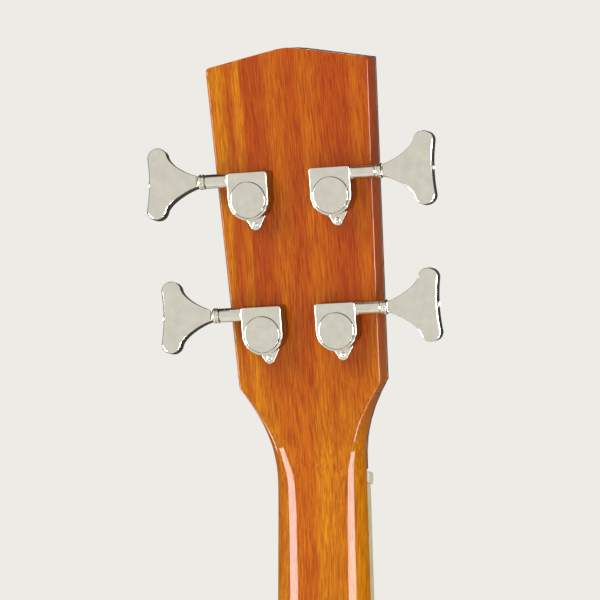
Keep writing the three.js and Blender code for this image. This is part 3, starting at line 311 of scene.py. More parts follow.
def place_piece(name, points, faces, body, material, stands_for=(), sharp=35.0):
    """Makes a mesh of points in metres and faces, smooth but for corners over sharp degrees."""
    mesh = bpy.data.meshes.new(name)
    mesh.from_pydata(np.asarray(points, float).reshape(-1, 3).tolist(), [], faces)
    weld(mesh)
    mesh.shade_smooth()
    mesh.set_sharp_from_angle(angle=np.radians(sharp))
    mesh.materials.append(material)
    piece = show(name, mesh)
    if stands_for:
        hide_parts(*stands_for)
    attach(piece, body)
    return piece


def skin(rows, lengthwise=False, caps=(False, False)):
    """Faces over a grid of points: rows joined to the next and closed around, the last row joined
    to the first if lengthwise, and each end closed with one flat face if capped."""
    count, size = rows
    ids = np.arange(count * size).reshape(count, size)
    right = np.roll(ids, -1, axis=1)
    below = np.roll(ids, -1, axis=0)
    corner = np.roll(right, -1, axis=0)
    quads = np.stack([ids, right, corner, below], axis=-1)
    quads = quads if lengthwise else quads[:-1]
    faces = quads.reshape(-1, 4).tolist()
    if caps[0]:
        faces.append(ids[0, ::-1].tolist())
    if caps[1]:
        faces.append(ids[-1].tolist())
    return faces


def back_plane(z):
    return DEPTH_AT_NECK + (DEPTH_AT_TAIL - DEPTH_AT_NECK) * (BODY_TOP - z) / BODY_LENGTH


def carried(outline, profile):
    """A profile of (inset, plate, depth) carried round an outline. A depth is measured from the
    soundboard's face for plate 0 and from the back's for plate 1. One row of points for each."""
    normal = inward(outline)
    rows = []
    for inset, plate, depth in profile:
        flat = outline + normal * inset
        rows.append(np.insert(flat, 1, plate * back_plane(flat[:, 1]) + depth, axis=1))
    return np.array(rows)


def fixed_piece(name, rows, material, slot_name, node, sharp=35.0, **closing):
    """A piece of the body or neck over a grid of points in mm from the nut."""
    return place_piece(name, on_layout(rows), skin(rows.shape[:2], **closing), "instrument", material,
                       [node], sharp)


# Lacquered mahogany: plain-sawn wood in gold and red bands along the grain, with short dark
# streaks half a millimetre wide, under a thick polished lacquer that is tinted amber.
GOLD, AMBER, RED, DARK_GRAIN = "D07C00", "C26000", "B04600", "7E2A00"
STREAK_MM, BAND_MM, PORE_MM = 0.55, 7.0, 0.45
STREAK_REDS, STREAK_GREENS = (0.74, 1.24), (0.5, 1.5)
BANDS_ACROSS_MM = 84.0
HEAD_BANDS = [(-38, RED), (-31, AMBER), (-27, RED), (-18, RED), (-7, AMBER), (-2, RED), (7, AMBER),
              (14, RED), (21, RED), (23, AMBER), (25, GOLD), (26.5, AMBER), (29, RED), (33, GOLD),
              (38, AMBER)]
NECK_BANDS = [(-30, GOLD), (-15, GOLD), (-5, GOLD), (0, AMBER), (5, AMBER), (12, AMBER), (17, GOLD),
              (30, GOLD)]
NECK_TURN_Z = (0.05, -0.035)
WAVER_SCALE, WAVER_REACH = 9.0, (0.006, 0.006, 0.0)


def noise(tree, place, scale, detail, roughness=0.5):
    return add(tree, "TexNoise", {"Vector": place, "Scale": scale, "Detail": detail,
                                  "Roughness": roughness}).outputs["Fac"]


def ramp(tree, source, stops, interpolation="LINEAR"):
    """A colour ramp with (place, hex colour) stops, fed by source."""
    made = add(tree, "ValToRGB", {"Fac": source})
    made.color_ramp.interpolation = interpolation
    elements = made.color_ramp.elements
    while len(elements) < len(stops):
        elements.new(1.0)
    for element, (place, colour) in zip(elements, stops):
        element.position = place
        element.color = linear(colour)
    return made.outputs["Color"]


def blend(tree, share, first, second):
    """Two colours mixed: share is how much there is of the second."""
    return add(tree, "Mix", {"Factor": share, "A": first, "B": second}, data_type="RGBA").outputs[2]


def join(tree, *parts):
    return add(tree, "CombineXYZ", dict(enumerate(parts))).outputs[0]


def coated(material, **inputs):
    """The material with its surface: inputs are named in lower case with underscores."""
    names = {key: key.replace("_", " ").title().replace("Ior", "IOR") for key in inputs}
    tree = material.node_tree
    surface = add(tree, "BsdfPrincipled", {names[key]: value for key, value in inputs.items()})
    add(tree, "OutputMaterial", {"Surface": surface.outputs[0]})
    return material


def grain_place(tree, stretch, bends=False):
    """Object coordinates drawn out along the instrument, with the slow waver of real grain. If it
    bends, the grain leans back with the headstock: y - max(z - nut, 0) tan(tilt) stands for y."""
    place = coordinates(tree)
    if bends:
        x, y, z = split(tree, place)
        above = scalar(tree, "MAXIMUM", scalar(tree, "SUBTRACT", z, float(HEAD_ORIGIN[2]) * MM), 0.0)
        place = join(tree, x, scalar(tree, "MULTIPLY_ADD", above, -float(np.tan(HEAD_TILT)), y), z)
    waver = add(tree, "TexNoise", {"Vector": place, "Scale": WAVER_SCALE, "Detail": 1.0})
    shift = vector(tree, "SUBTRACT", waver.outputs["Color"], (0.5, 0.5, 0.5))
    bent = vector(tree, "ADD", place, vector(tree, "MULTIPLY", shift, WAVER_REACH))
    return add(tree, "Mapping", {"Vector": bent, "Scale": (1.0, 1.0, stretch)}).outputs[0]


def banded(tree, across, bands):
    """A line of colours across the wood: (millimetres to the treble side, colour) pairs."""
    return ramp(tree, across, [(0.5 + x / BANDS_ACROSS_MM, colour) for x, colour in bands])


def mahogany(name, bands=None, neck_bands=None, mirror=False, lighter=0.0):
    """Clouds or given bands of colour, redder patches, fine streaks and dark pores. A mirrored
    wood is two leaves of one board, opened like a book."""
    material, tree = new_material(name)
    fine, broad, short = (grain_place(tree, stretch, bool(bands)) for stretch in (0.045, 0.12, 0.09))
    if mirror:
        x, y, z = split(tree, broad)
        broad = join(tree, scalar(tree, "ABSOLUTE", x), y, z)
    cloud = noise(tree, broad, 1 / (BAND_MM * MM), 3.0, 0.6)
    if bands:
        x, y, z = split(tree, coordinates(tree))
        waver = scalar(tree, "MULTIPLY_ADD", cloud, 0.1, 0.45)
        across = scalar(tree, "MULTIPLY_ADD", x, 1 / (BANDS_ACROSS_MM * MM), waver)
        wood = blend(tree, remap(tree, z, NECK_TURN_Z, smooth=True), banded(tree, across, bands),
                     banded(tree, across, neck_bands))
    else:
        wood = ramp(tree, cloud, [(0.36 - lighter, RED), (0.5 - lighter, AMBER), (0.66 - lighter, GOLD)])
    patch = noise(tree, broad, 1 / (1.8 * BAND_MM * MM), 2.0)
    wood = blend(tree, remap(tree, patch, (0.5, 0.72), (0.0, 0.6)), wood, linear(RED))
    streak = noise(tree, fine, 1 / (STREAK_MM * MM), 3.0, 0.65)
    tints = [remap(tree, streak, (0.36, 0.64), target) for target in (STREAK_REDS, STREAK_GREENS)]
    wood = vector(tree, "MULTIPLY", wood, join(tree, *tints, 1.0))
    pore = noise(tree, short, 1 / (PORE_MM * MM), 2.0)
    wood = blend(tree, remap(tree, pore, (0.6, 0.7), (0.0, 0.5)), wood, linear(DARK_GRAIN))
    return coated(material, base_color=wood, roughness=0.05, ior=1.45, specular_ior_level=0.35)


MAHOGANY = mahogany("lacquered_mahogany", HEAD_BANDS, NECK_BANDS)
SIDE_MAHOGANY = mahogany("lacquered_mahogany_sides", lighter=0.03)
BACK_MAHOGANY = mahogany("lacquered_mahogany_back", mirror=True)
outline = body_outline()


def make_sides():
    """The rim: a band between the two bindings, as thick as a bent side."""
    top, low = BINDING_DEPTH + SEAM, 0.25
    rows = carried(outline, [(low, 0, top), (0.0, 0, top + low), (0.0, 1, -top - low), (low, 1, -top),
                             (SIDE_THICKNESS, 1, -top), (SIDE_THICKNESS, 0, top)])
    fixed_piece("bent_sides", rows, SIDE_MAHOGANY, "amber_mahogany", "sides", lengthwise=True)


def make_back():
    """A flat plate between the strips of the back binding, its rim just broken."""
    edge = BINDING_WIDTH + SEAM
    rows = carried(outline, [(edge, 1, -BACK_THICKNESS), (edge, 1, -0.15), (edge + 0.15, 1, 0.0),
                             (edge + 0.6, 1, 0.0)])
    fixed_piece("back_plate", rows, BACK_MAHOGANY, "amber_mahogany", "back", caps=(True, True))


make_sides()
make_back()


# Bindings: strips of cream celluloid bent round the two edges of the body, flush with the wood
# and rounded over by scraping. Celluloid gives a warm, slightly grained ivory with a soft gloss.
BINDING_ROUND = 1.4


def circle(angle):
    return np.stack([np.cos(angle), np.sin(angle)], axis=1)


def arc(centre, radius, first, last, count=6):
    """Points on an arc, from angle first to last in degrees."""
    return np.asarray(centre) + radius * circle(np.radians(np.linspace(first, last, count)))


def celluloid():
    material, tree = new_material("cream_celluloid")
    cloud = noise(tree, coordinates(tree), 160.0, 3.0)
    cream = ramp(tree, cloud, [(0.3, "E3CF9C"), (0.7, "EFE2BC")])
    return coated(material, base_color=cream, roughness=0.16, ior=1.5, subsurface_weight=0.08)


CELLULOID = celluloid()


def make_binding(name, node, plate, sign):
    """An edge strip on plate 0, the soundboard, or 1, the back: sign leads into the body."""
    bend = arc((BINDING_ROUND, BINDING_ROUND), BINDING_ROUND, 180, 270, 7)
    corners = [(BINDING_WIDTH, 0.0), *bend[::-1].tolist(), (0.0, BINDING_DEPTH),
               (BINDING_WIDTH, BINDING_DEPTH)]
    rows = carried(outline, [(inset, plate, sign * deep) for inset, deep in corners])
    fixed_piece(name, rows, CELLULOID, "cream_binding", node, lengthwise=True)


make_binding("top_edge_binding", "top_binding", 0, 1)
make_binding("back_edge_binding", "back_binding", 1, -1)


# Soundboard: quarter-sawn spruce with fine straight grain, joined at the middle, with a round
# soundhole and a rosette of inlaid rings around it. Clear gloss lacquer has yellowed it a little.
GRAIN_SPACING_MM = 1.3
ROSETTE_REACH_MM, ROSETTE_START, ROSETTE_END = 100.0, 55.0, 64.0
ROSETTE_RINGS = [(53.0, "F1DEB4"), (55.0, "2A1A12"), (55.8, "EBDCB6"), (56.6, "2A1A12"),
                 (57.4, "6B3A1C"), (61.6, "2A1A12"), (62.4, "EBDCB6"), (63.2, "2A1A12"),
                 (64.0, "F1DEB4")]


def ridges(tree, place, spacing_mm):
    """A sine wave across the grain or along a string, one wave for each spacing."""
    return scalar(tree, "SINE", scalar(tree, "MULTIPLY", place, 6.2832 / (spacing_mm * MM)))


def inlaid(tree, wood):
    """The wood with the rosette's rings, by the distance from the middle of the soundhole."""
    middle = (0.0, 0.0, float(on_layout([0.0, 0.0, HOLE_CENTRE])[2]))
    flat = vector(tree, "MULTIPLY", coordinates(tree), (1.0, 0.0, 1.0))
    away = vector(tree, "DISTANCE", flat, middle, result="Value")
    reach = scalar(tree, "MULTIPLY", away, 1 / (ROSETTE_REACH_MM * MM))
    rings = ramp(tree, reach, [(r / ROSETTE_REACH_MM, colour) for r, colour in ROSETTE_RINGS], "CONSTANT")
    past = scalar(tree, "GREATER_THAN", reach, ROSETTE_START / ROSETTE_REACH_MM)
    within = scalar(tree, "LESS_THAN", reach, ROSETTE_END / ROSETTE_REACH_MM)
    return blend(tree, scalar(tree, "MULTIPLY", past, within), wood, rings)


def spruce(name, gloss, rosette=False):
    material, tree = new_material(name)
    place = grain_place(tree, 0.02)
    wave = ridges(tree, split(tree, place)["X"], GRAIN_SPACING_MM)
    fleck = noise(tree, place, 900.0, 4.0, 0.7)
    both = scalar(tree, "MULTIPLY_ADD", wave, 0.13, fleck)
    wood = ramp(tree, both, [(0.3, "C79550"), (0.5, "DFB272"), (0.7, "E9C389")])
    return coated(material, base_color=inlaid(tree, wood) if rosette else wood, roughness=gloss, ior=1.5)


SPRUCE_TOP = spruce("lacquered_spruce", 0.09, rosette=True)
SPRUCE_BARE = spruce("bare_spruce", 0.6)


def make_soundboard():
    """A ring-shaped plate: the hole's edge and the outline share the angle of each point."""
    edge = outline + inward(outline) * (BINDING_WIDTH + SEAM)
    facing = circle(np.arctan2(edge[:, 1] - HOLE_CENTRE, edge[:, 0]))
    steps = [(HOLE_RADIUS, 0.5), (HOLE_RADIUS + 0.15, 0.15), (HOLE_RADIUS + 0.5, 0.0), (None, 0.0),
             (None, TOP_THICKNESS), (HOLE_RADIUS, TOP_THICKNESS)]
    flats = [edge if radius is None else facing * radius + [0.0, HOLE_CENTRE] for radius, depth in steps]
    rows = np.array([np.insert(flat, 1, depth, axis=1) for flat, (radius, depth) in zip(flats, steps)])
    fixed_piece("soundboard_plate", rows, SPRUCE_TOP, "spruce", "soundboard", lengthwise=True)


make_soundboard()


# Inside the body: braces of bare spruce, blocks, linings and the bridge plate of pale wood. They
# keep their sawn shapes, and the braces have their edges just broken.
EDGE_BREAK = 0.5 * MM


def pale_wood():
    """Bare maple or basswood: pale, matt, with a faint broad grain."""
    material, tree = new_material("bare_pale_wood")
    grain = noise(tree, grain_place(tree, 0.06), 420.0, 4.0)
    wood = ramp(tree, grain, [(0.3, "B58D5B"), (0.7, "D3B07F")])
    return coated(material, base_color=wood, roughness=0.7, ior=1.45)


PALE_WOOD = pale_wood()


def dress(node, material, break_width=0.0):
    """Gives a node its finish and, if asked, breaks its sharp edges."""
    piece = frame["nodes"][node]
    piece.data.materials.clear()
    piece.data.materials.append(material)
    if break_width:
        joined = piece.modifiers.new("join", "WELD")
        joined.merge_threshold = 2e-6
        bevel = piece.modifiers.new("broken_edge", "BEVEL")
        bevel.width = break_width
        bevel.segments = 3
        bevel.limit_method = "ANGLE"
        bevel.angle_limit = np.radians(35.0)
        bevel.harden_normals = False


for node in ("x_brace", "soundhole_brace", "upper_back_brace", "lower_back_brace"):
    dress(node, SPRUCE_BARE, EDGE_BREAK)
for node in ("neck_block", "tail_block", "bridge_plate", "top_lining", "back_lining"):
    dress(node, PALE_WOOD)


# Neck: one length of mahogany with the headstock tipped back, a round back, a flat-faced
# headstock and a heel carved down to a small flat cap. All of it is under the same lacquer.
NUT_HALF, JOIN_HALF = 21.0, 29.0
NECK_DEPTH_AT_NUT, NECK_DEPTH_AT_BODY = 15.2, 18.5
SHOULDER_UP, SHOULDER_HALF, CORNER_UP, CORNER_HALF = 42.0, 33.9, 191.0, 38.8
CREST_RISE, CREST_ROUND, FLARE_POWER = 7.5, 3.0, 2.25
NUT_DEPTH = 6.0
HEEL_ROOT, HEEL_CAP, HEEL_KEEL, HEEL_CUT = 68.0, 12.0, 106.0, 99.0
HEEL_SWEEP_POWER, HEEL_ROUND_POWER, NECK_ROUND_POWER = 2.7, 1.95, 2.25
EDGE_ROUND, CORNER_ROUND, HEEL_EDGE_ROUND, FLAT_ROUND_RUN = 1.3, 1.1, 1.2, 16.0
BEND_RUN = 14.0
FLARE_SHARES = np.array([0.1, 0.2, 0.33, 0.44, 0.55, 0.7, 0.86, 1.0])
FLARE_POWERS = np.array([3.15, 3.6, 4.2, 5.2, 6.5, 9.0, 15.0, 30.0])
FLAT_UPS = np.array([14.0, 14.8, 16.4, 18.4, 22.6, 29.3, 36.9, 42.0])
FLAT_WIDTH_SHARES = np.array([0.0, 0.27, 0.45, 0.59, 0.74, 0.845, 0.92, 0.97])
NECK_POWER_SHARES = np.array([1.0, 0.2, 0.1, 0.03, 0.0])
NECK_POWERS = np.array([2.25, 2.25, 2.3, 2.45, 2.65])
NUT_POWER = 2.9


def eased(share):
    """Slow at both ends: 3 s^2 - 2 s^3."""
    return share ** 2 * (3 - 2 * share)


def softened(values, step, width):
    """A sampled line smoothed with a bell of the given width, its ends kept."""
    reach = int(np.ceil(3 * width / step))
    bell = np.exp(-0.5 * (np.arange(-reach, reach + 1) * step / width) ** 2)
    padded = np.concatenate([2 * values[0] - values[reach:0:-1], values,
                             2 * values[-1] - values[-2:-reach - 2:-1]])
    return np.convolve(padded, bell / bell.sum(), mode="valid")


def head_edge():
    """The right edge of the headstock from the nut to the tip of the crest, as (across, up):
    the flare grows with a power of the height, the sides are straight, and the crest is two
    straight lines that meet in a curve."""
    up = np.arange(0.0, CORNER_UP, 0.1)
    flare = NUT_HALF + (SHOULDER_HALF - NUT_HALF) * np.clip(up / SHOULDER_UP, 0, 1) ** FLARE_POWER
    above = np.clip(up - SHOULDER_UP, 0, None) / (CORNER_UP - SHOULDER_UP)
    flare += (CORNER_HALF - SHOULDER_HALF) * above
    across = np.arange(CORNER_HALF, -0.05, -0.1)
    crest = CORNER_UP + CREST_RISE * (1 - np.hypot(across, CREST_ROUND) / CORNER_HALF)
    line = np.vstack([np.stack([flare, up], axis=1), np.stack([across, crest], axis=1)])
    line = spread(line, int(len(line) * 1.02), closed=False)
    step = np.linalg.norm(line[1] - line[0])
    mirrored = np.vstack([line, (line[-2::-1] * [-1, 1])[:200]])
    return np.stack([softened(mirrored[:, 0], step, CORNER_ROUND),
                     softened(mirrored[:, 1], step, CORNER_ROUND)], axis=1)[:len(line)]


def neck_stations():
    """Rings of the neck from the heel to the tip of the crest. Each has its place along the wood,
    half width, depth, roundness and how square its side stands to the edge."""
    fine = 0.5
    along = np.arange(BODY_TOP, NUT_DEPTH + CORNER_UP + 30, fine)
    up = along - NUT_DEPTH
    wide = np.where(along < 0, NUT_HALF + (JOIN_HALF - NUT_HALF) * along / BODY_TOP, NUT_HALF)
    above = along - BODY_TOP
    run = HEEL_ROOT - HEEL_CAP
    swept = np.clip(1 - np.clip(above - HEEL_CAP, 0, None) / run, 0, 1)
    plain = NECK_DEPTH_AT_NUT + (NECK_DEPTH_AT_BODY - NECK_DEPTH_AT_NUT) * along / BODY_TOP
    power_knots = np.concatenate([BODY_TOP * NECK_POWER_SHARES, [NUT_DEPTH],
                                  NUT_DEPTH + FLARE_SHARES * SHOULDER_UP])
    powers = np.concatenate([NECK_POWERS, [NUT_POWER], FLARE_POWERS])
    power = softened(np.interp(along, power_knots, powers), fine, 2.0)
    settled = eased(np.clip(up / FLAT_UPS[0], 0, 1))
    flat = np.sqrt(np.interp(up, FLAT_UPS, FLAT_WIDTH_SHARES ** 2))
    proud = HEAD_THICKNESS / (1 - flat ** power) ** (1 / power)
    deep = np.where(up < FLAT_UPS[0], plain + (HEAD_THICKNESS - plain) * settled, proud)
    deep += (HEEL_KEEL - NECK_DEPTH_AT_BODY) * swept ** HEEL_SWEEP_POWER
    power -= (NECK_ROUND_POWER - HEEL_ROUND_POWER) * swept ** HEEL_SWEEP_POWER

    edge = head_edge()
    run_up = run_along(edge)
    corner, tip = np.interp(CORNER_UP - 6, edge[:, 1], run_up), run_up[-1]
    stops = np.concatenate([np.arange(0, 10, 0.8), np.arange(10, 26, 0.3), np.arange(26, 52, 0.8),
                            np.arange(52, corner, 9.0), np.arange(corner, tip - 8, 0.5),
                            np.linspace(tip - 8, tip, 24)])
    across, ups = (np.interp(stops, run_up, edge[:, k]) for k in (0, 1))
    slope = np.gradient(across, stops), np.gradient(ups, stops)
    square = np.clip(slope[1] / np.hypot(*slope), 0.12, 1.0)

    heel_end = BODY_TOP + HEEL_ROOT + 6
    neck = np.concatenate([np.arange(BODY_TOP + SEAM, heel_end, 1.0), np.arange(heel_end, -40, 8.0),
                           np.arange(-40, NUT_DEPTH, 0.8)])
    place = np.concatenate([neck, ups + NUT_DEPTH])
    half = np.concatenate([np.interp(neck, along, wide), np.clip(across, 0.02, None)])
    side = np.concatenate([np.ones(len(neck)), square])
    return place, half, np.interp(place, along, deep), np.interp(place, along, power), side


def bent(place):
    """The front line of the wood where the headstock tips back: its angle eases in over a run
    that is centred on the nut, and past it the line lies in the headstock's front. Returns how far
    back and how high each place on the line is, and its angle."""
    step = 0.05
    fine = np.arange(place.min(), place.max() + step, step)
    share = np.clip((fine - NUT_DEPTH) / BEND_RUN + 0.5, 0, 1)
    angle = HEAD_TILT * eased(share)
    back = np.concatenate([[0.0], np.cumsum(np.sin(angle))[:-1] * step])
    high = fine[0] + np.concatenate([[0.0], np.cumsum(np.cos(angle))[:-1] * step])
    on_slope = fine[-1] - NUT_DEPTH
    back += share * (on_slope * np.sin(HEAD_TILT) - back[-1])
    high += share * (NUT_DEPTH + on_slope * np.cos(HEAD_TILT) - high[-1])
    return (np.interp(place, fine, values) for values in (back, high, angle))


def rounded_meet(a, b, radius):
    """Where two surfaces, given by their distances a and b, meet in an edge of that radius."""
    corner = np.hypot(np.maximum(a + radius, 0), np.maximum(b + radius, 0))
    return np.minimum(np.maximum(a, b), -radius) + corner


def neck_rings(columns=120, rays=640):
    """For each station the ring where a rounded section |x/w|^p + |y/d|^p = 1, or on the
    headstock a square one, is cut by the flat back. It is found along rays from the middle, and
    its points lie closer together where it bends."""
    place, half, deep, power, side = (values[:, None] for values in neck_stations())
    middle = 6.0
    low = np.arctan2(middle, half)
    angle = -low + np.linspace(0, 1, rays)[None, :] * (np.pi + 2 * low)
    on_flat = place - NUT_DEPTH - FLAT_UPS[0]
    cut = np.where(on_flat < 0, HEEL_CUT, HEAD_THICKNESS)
    softer = EDGE_ROUND * np.clip(on_flat / FLAT_ROUND_RUN, 0.02, 1)
    boxed = place - NUT_DEPTH > SHOULDER_UP
    bound = np.where(place < 0, HEEL_EDGE_ROUND, softer)
    bound = np.minimum(bound, np.where(boxed, half * side, bound))
    near, far = np.zeros_like(angle), np.full_like(angle, 130.0)
    for step in range(30):
        reach = (near + far) / 2
        x, y = reach * np.cos(angle), middle + reach * np.sin(angle)
        sum_of = (np.abs(x) / half) ** power + (np.maximum(y, 0) / deep) ** power
        swell = (np.clip(sum_of, 1e-12, 1e12) ** (1 / power) - 1) * half
        flat = np.where(boxed, (np.abs(x) - half) * side, swell)
        outside = rounded_meet(flat, y - cut, bound) > 0
        far = np.where(outside, reach, far)
        near = np.where(outside, near, reach)
    x, y = near * np.cos(angle), middle + near * np.sin(angle)
    rings = np.zeros((len(place), columns, 2))
    for i, ring in enumerate(np.stack([x, y], axis=2)):
        hop = np.diff(ring, axis=0)
        length = np.linalg.norm(hop, axis=1)
        heading = np.unwrap(np.arctan2(hop[:, 1], hop[:, 0]))
        bend = np.concatenate([[0.0], np.abs(np.diff(heading))])
        weight = length / length.sum() + 1.2 * bend / bend.sum() + 1e-6
        run = np.concatenate([[0.0], np.cumsum(weight)])
        at = np.linspace(0, run[-1], columns)
        rings[i] = np.stack([np.interp(at, run, ring[:, k]) for k in (0, 1)], axis=1)
    across, out = rings[:, :, 0], np.maximum(rings[:, :, 1], 0.0)
    back, high, tilt = bent(place)
    return np.stack([across, back + out * np.cos(tilt), high - out * np.sin(tilt)], axis=2)


fixed_piece("neck_and_headstock", neck_rings(), MAHOGANY, "amber_mahogany", "neck", sharp=50.0,
            caps=(True, False))


# Headstock face: a thin rosewood veneer, and over the truss rod's pocket a small black plate.
# The rod itself is a steel bar with a hexagon nut.
def bumped(tree, height, strength):
    return add(tree, "Bump", {"Height": height, "Strength": strength, "Distance": 0.0002}).outputs[0]


def rosewood(name, roughness):
    """Dark brown wood with nearly black streaks about 1.5 mm wide."""
    material, tree = new_material(name)
    place = grain_place(tree, 0.04)
    grain = noise(tree, place, 520.0, 6.0, 0.7)
    wood = ramp(tree, grain, [(0.32, "1E110C"), (0.5, "38211A"), (0.68, "543326")])
    pores = bumped(tree, noise(tree, place, 1700.0, 2.0), 0.12)
    return coated(material, base_color=wood, normal=pores, roughness=roughness, ior=1.5)


def plain_gloss(name, colour, roughness=0.1, metallic=0.0, mottle=0.06, scale=300.0):
    """A solid colour with a faint cloud in it: moulded or polished sheet, or turned metal."""
    material, tree = new_material(name)
    cloud = noise(tree, coordinates(tree), scale, 3.0)
    light = remap(tree, cloud, target=(1 - mottle, 1 + mottle))
    dull = remap(tree, cloud, target=(roughness * 0.8, roughness * 1.2))
    tint = vector(tree, "MULTIPLY", linear(colour)[:3], light)
    return coated(material, base_color=tint, roughness=dull, metallic=metallic)


VENEER_WOOD = rosewood("lacquered_rosewood", 0.08)
OILED_ROSEWOOD = rosewood("oiled_rosewood", 0.42)
BLACK_PLATE = plain_gloss("black_acrylic_plate", "0D0C0C", 0.07)
STEEL = plain_gloss("drawn_steel", "8E8E92", 0.32, 1.0)
dress("headstock_veneer", VENEER_WOOD, 0.35 * MM)
dress("truss_rod_cover", BLACK_PLATE, 0.4 * MM)
dress("truss_rod", STEEL)


# Nut and saddle: bars of polished bone, ivory white with a faint mottle. The nut is glued at the
# end of the fingerboard, and the saddle stands in a slot of the bridge.
BONE = plain_gloss("polished_bone", "E9E2CE", 0.22, mottle=0.05)
dress("nut", BONE, 0.9 * MM)
dress("saddle", BONE, 0.6 * MM)


# Fingerboard: an oiled rosewood board with 20 nickel-silver frets hammered in, cream binding
# along its edges and pearl dots. Each fret is a rounded crown, 2.2 mm wide.
SCALE_LENGTH, FRET_COUNT, BOARD_MARGIN = 812.8, 20, 9.0
BOARD_BACK, BOARD_FACE, BOARD_BINDING = -0.3, -6.8, 1.8
FRET_HALF, FRET_HEIGHT = 1.15, 1.2
DOT_FRETS, DOT_RADIUS, TWIN_DOT_FRET, TWIN_DOT_X = (3, 5, 7, 9, 15, 17, 19), 3.2, 12, 10.5


def fret_place(number):
    return -SCALE_LENGTH * (1 - 2 ** (-number / 12))


def board_half(z):
    return NUT_HALF + (JOIN_HALF - NUT_HALF) * z / BODY_TOP


BOARD_END = fret_place(FRET_COUNT) - BOARD_MARGIN


def make_board():
    """A tapered slab whose section is a rectangle with broken edges at the face."""
    z = np.linspace(0.0, BOARD_END, 3)[:, None]
    half = board_half(z) - BOARD_BINDING - SEAM
    broken = 0.3
    sections = [(1, BOARD_BACK, 0), (1, BOARD_FACE + broken, 0), (1, BOARD_FACE, -broken),
                (-1, BOARD_FACE, broken), (-1, BOARD_FACE + broken, 0), (-1, BOARD_BACK, 0)]
    rows = np.concatenate([np.stack([side * half + inset, y + 0 * z, z], axis=2)
                           for side, y, inset in sections], axis=1)
    fixed_piece("fingerboard_wood", rows, OILED_ROSEWOOD, "rosewood", "fingerboard", caps=(True, True))


def stacked(parts):
    """Several (rows, faces) solids as one list of points and faces."""
    points, faces = [], []
    for rows, made in parts:
        faces += [[i + len(points) for i in face] for face in made]
        points += np.asarray(rows).reshape(-1, 3).tolist()
    return np.array(points), faces


def fret(number):
    """Half an ellipse carried across the board, its ends filed back to a slope."""
    angle = np.radians(np.linspace(0, 180, 13))
    z = fret_place(number)
    half = board_half(z) - 0.5
    rows = []
    for end, full in ((-1.0, 0.0), (-1.0, 1.0), (1.0, 1.0), (1.0, 0.0)):
        lift = np.sin(angle) * FRET_HEIGHT * full
        x = end * (half - 0.9 * full) - end * 0.5 * lift * full
        rows.append(np.stack([x, BOARD_FACE - lift, z + FRET_HALF * np.cos(angle)], axis=1))
    rows = np.array(rows)
    return rows, skin(rows.shape[:2])


def dot(x, number):
    """A flat pearl disc, a hair proud of the board, half way to the fret before."""
    ring = circle(np.radians(np.arange(0, 360, 10)))
    centre = [x, (fret_place(number) + fret_place(number - 1)) / 2]
    steps = [(DOT_RADIUS, 0.4), (DOT_RADIUS, -0.03), (DOT_RADIUS - 0.08, -0.06)]
    rows = np.array([np.insert(centre + ring * radius, 1, BOARD_FACE + y, axis=1) for radius, y in steps])
    return rows, skin(rows.shape[:2], caps=(True, True))


def make_frets_and_dots():
    points, faces = stacked(fret(number) for number in range(1, FRET_COUNT + 1))
    place_piece("fret_wires", on_layout(points), faces, "instrument", NICKEL_SILVER, sharp=60.0)
    spots = [(0.0, n) for n in DOT_FRETS] + [(-TWIN_DOT_X, TWIN_DOT_FRET), (TWIN_DOT_X, TWIN_DOT_FRET)]
    points, faces = stacked(dot(*spot) for spot in spots)
    place_piece("pearl_dots", on_layout(points), faces, "instrument", PEARL)


NICKEL_SILVER = plain_gloss("nickel_silver_wire", "C9C4B6", 0.2, 1.0)
PEARL = plain_gloss("pearl_inlay", "E6E6E0", 0.12, mottle=0.12, scale=900.0)
make_board()
make_frets_and_dots()
dress("fingerboard_binding", CELLULOID, 0.3 * MM)


# Bridge: an oiled rosewood bar glued to the soundboard, full height at the saddle and lowered
# in a smooth scoop to thin wings, with every edge softened.
BRIDGE_HALF, BRIDGE_LENGTH, BRIDGE_HEIGHT, WING_HEIGHT = 85.0, 38.0, 8.3, 4.0
BRIDGE_FLAT_HALF, BRIDGE_CORNER, SADDLE_FROM_FRONT = 44.0, 8.0, 11.0


def rounded_box_outline(half_x, low_z, high_z, radius, count=10):
    """A rectangle in x and z with round corners, run round once."""
    corners = [((half_x - radius, low_z + radius), -90), ((half_x - radius, high_z - radius), 0),
               ((radius - half_x, high_z - radius), 90), ((radius - half_x, low_z + radius), 180)]
    return np.vstack([arc(centre, radius, first, first + 90, count) for centre, first in corners])


def slab_rows(shape, front, back, round_front, round_back, steps=5):
    """A flat outline filled from y = front to y = back, its two rims rounded with these radii:
    one row of points for each step of the rims, drawn in along the outline's normals."""
    normal = inward(shape)
    rows = []
    for radius, at, sign in ((round_front, front, 1), (round_back, back, -1)):
        bend = np.radians(np.linspace(90, 0, steps if radius else 1))
        insets = radius * (1 - np.cos(bend)) if radius else np.zeros(1)
        depths = at + sign * radius * (1 - np.sin(bend)) if radius else np.full(1, at)
        if radius:
            insets = np.concatenate([[radius + 0.2], insets])
            depths = np.concatenate([[at], depths])
        rim = [np.insert(shape + normal * inset, 1, depth, axis=1)
               for inset, depth in zip(insets, depths)]
        rows += rim if sign > 0 else rim[::-1]
    return np.array(rows)


def make_bridge():
    high = -SCALE_LENGTH + SADDLE_FROM_FRONT
    shape = spread(rounded_box_outline(BRIDGE_HALF, high - BRIDGE_LENGTH, high, BRIDGE_CORNER), 320)
    rows = slab_rows(shape, -SEAM - BRIDGE_HEIGHT, -SEAM, 1.2, 0.0)
    slope = np.clip((np.abs(rows[..., 0]) - BRIDGE_FLAT_HALF) / 20.0, 0, 1)
    lowered = (BRIDGE_HEIGHT - WING_HEIGHT) * eased(slope)
    rows[:-1, :, 1] += lowered[:-1]
    return rows


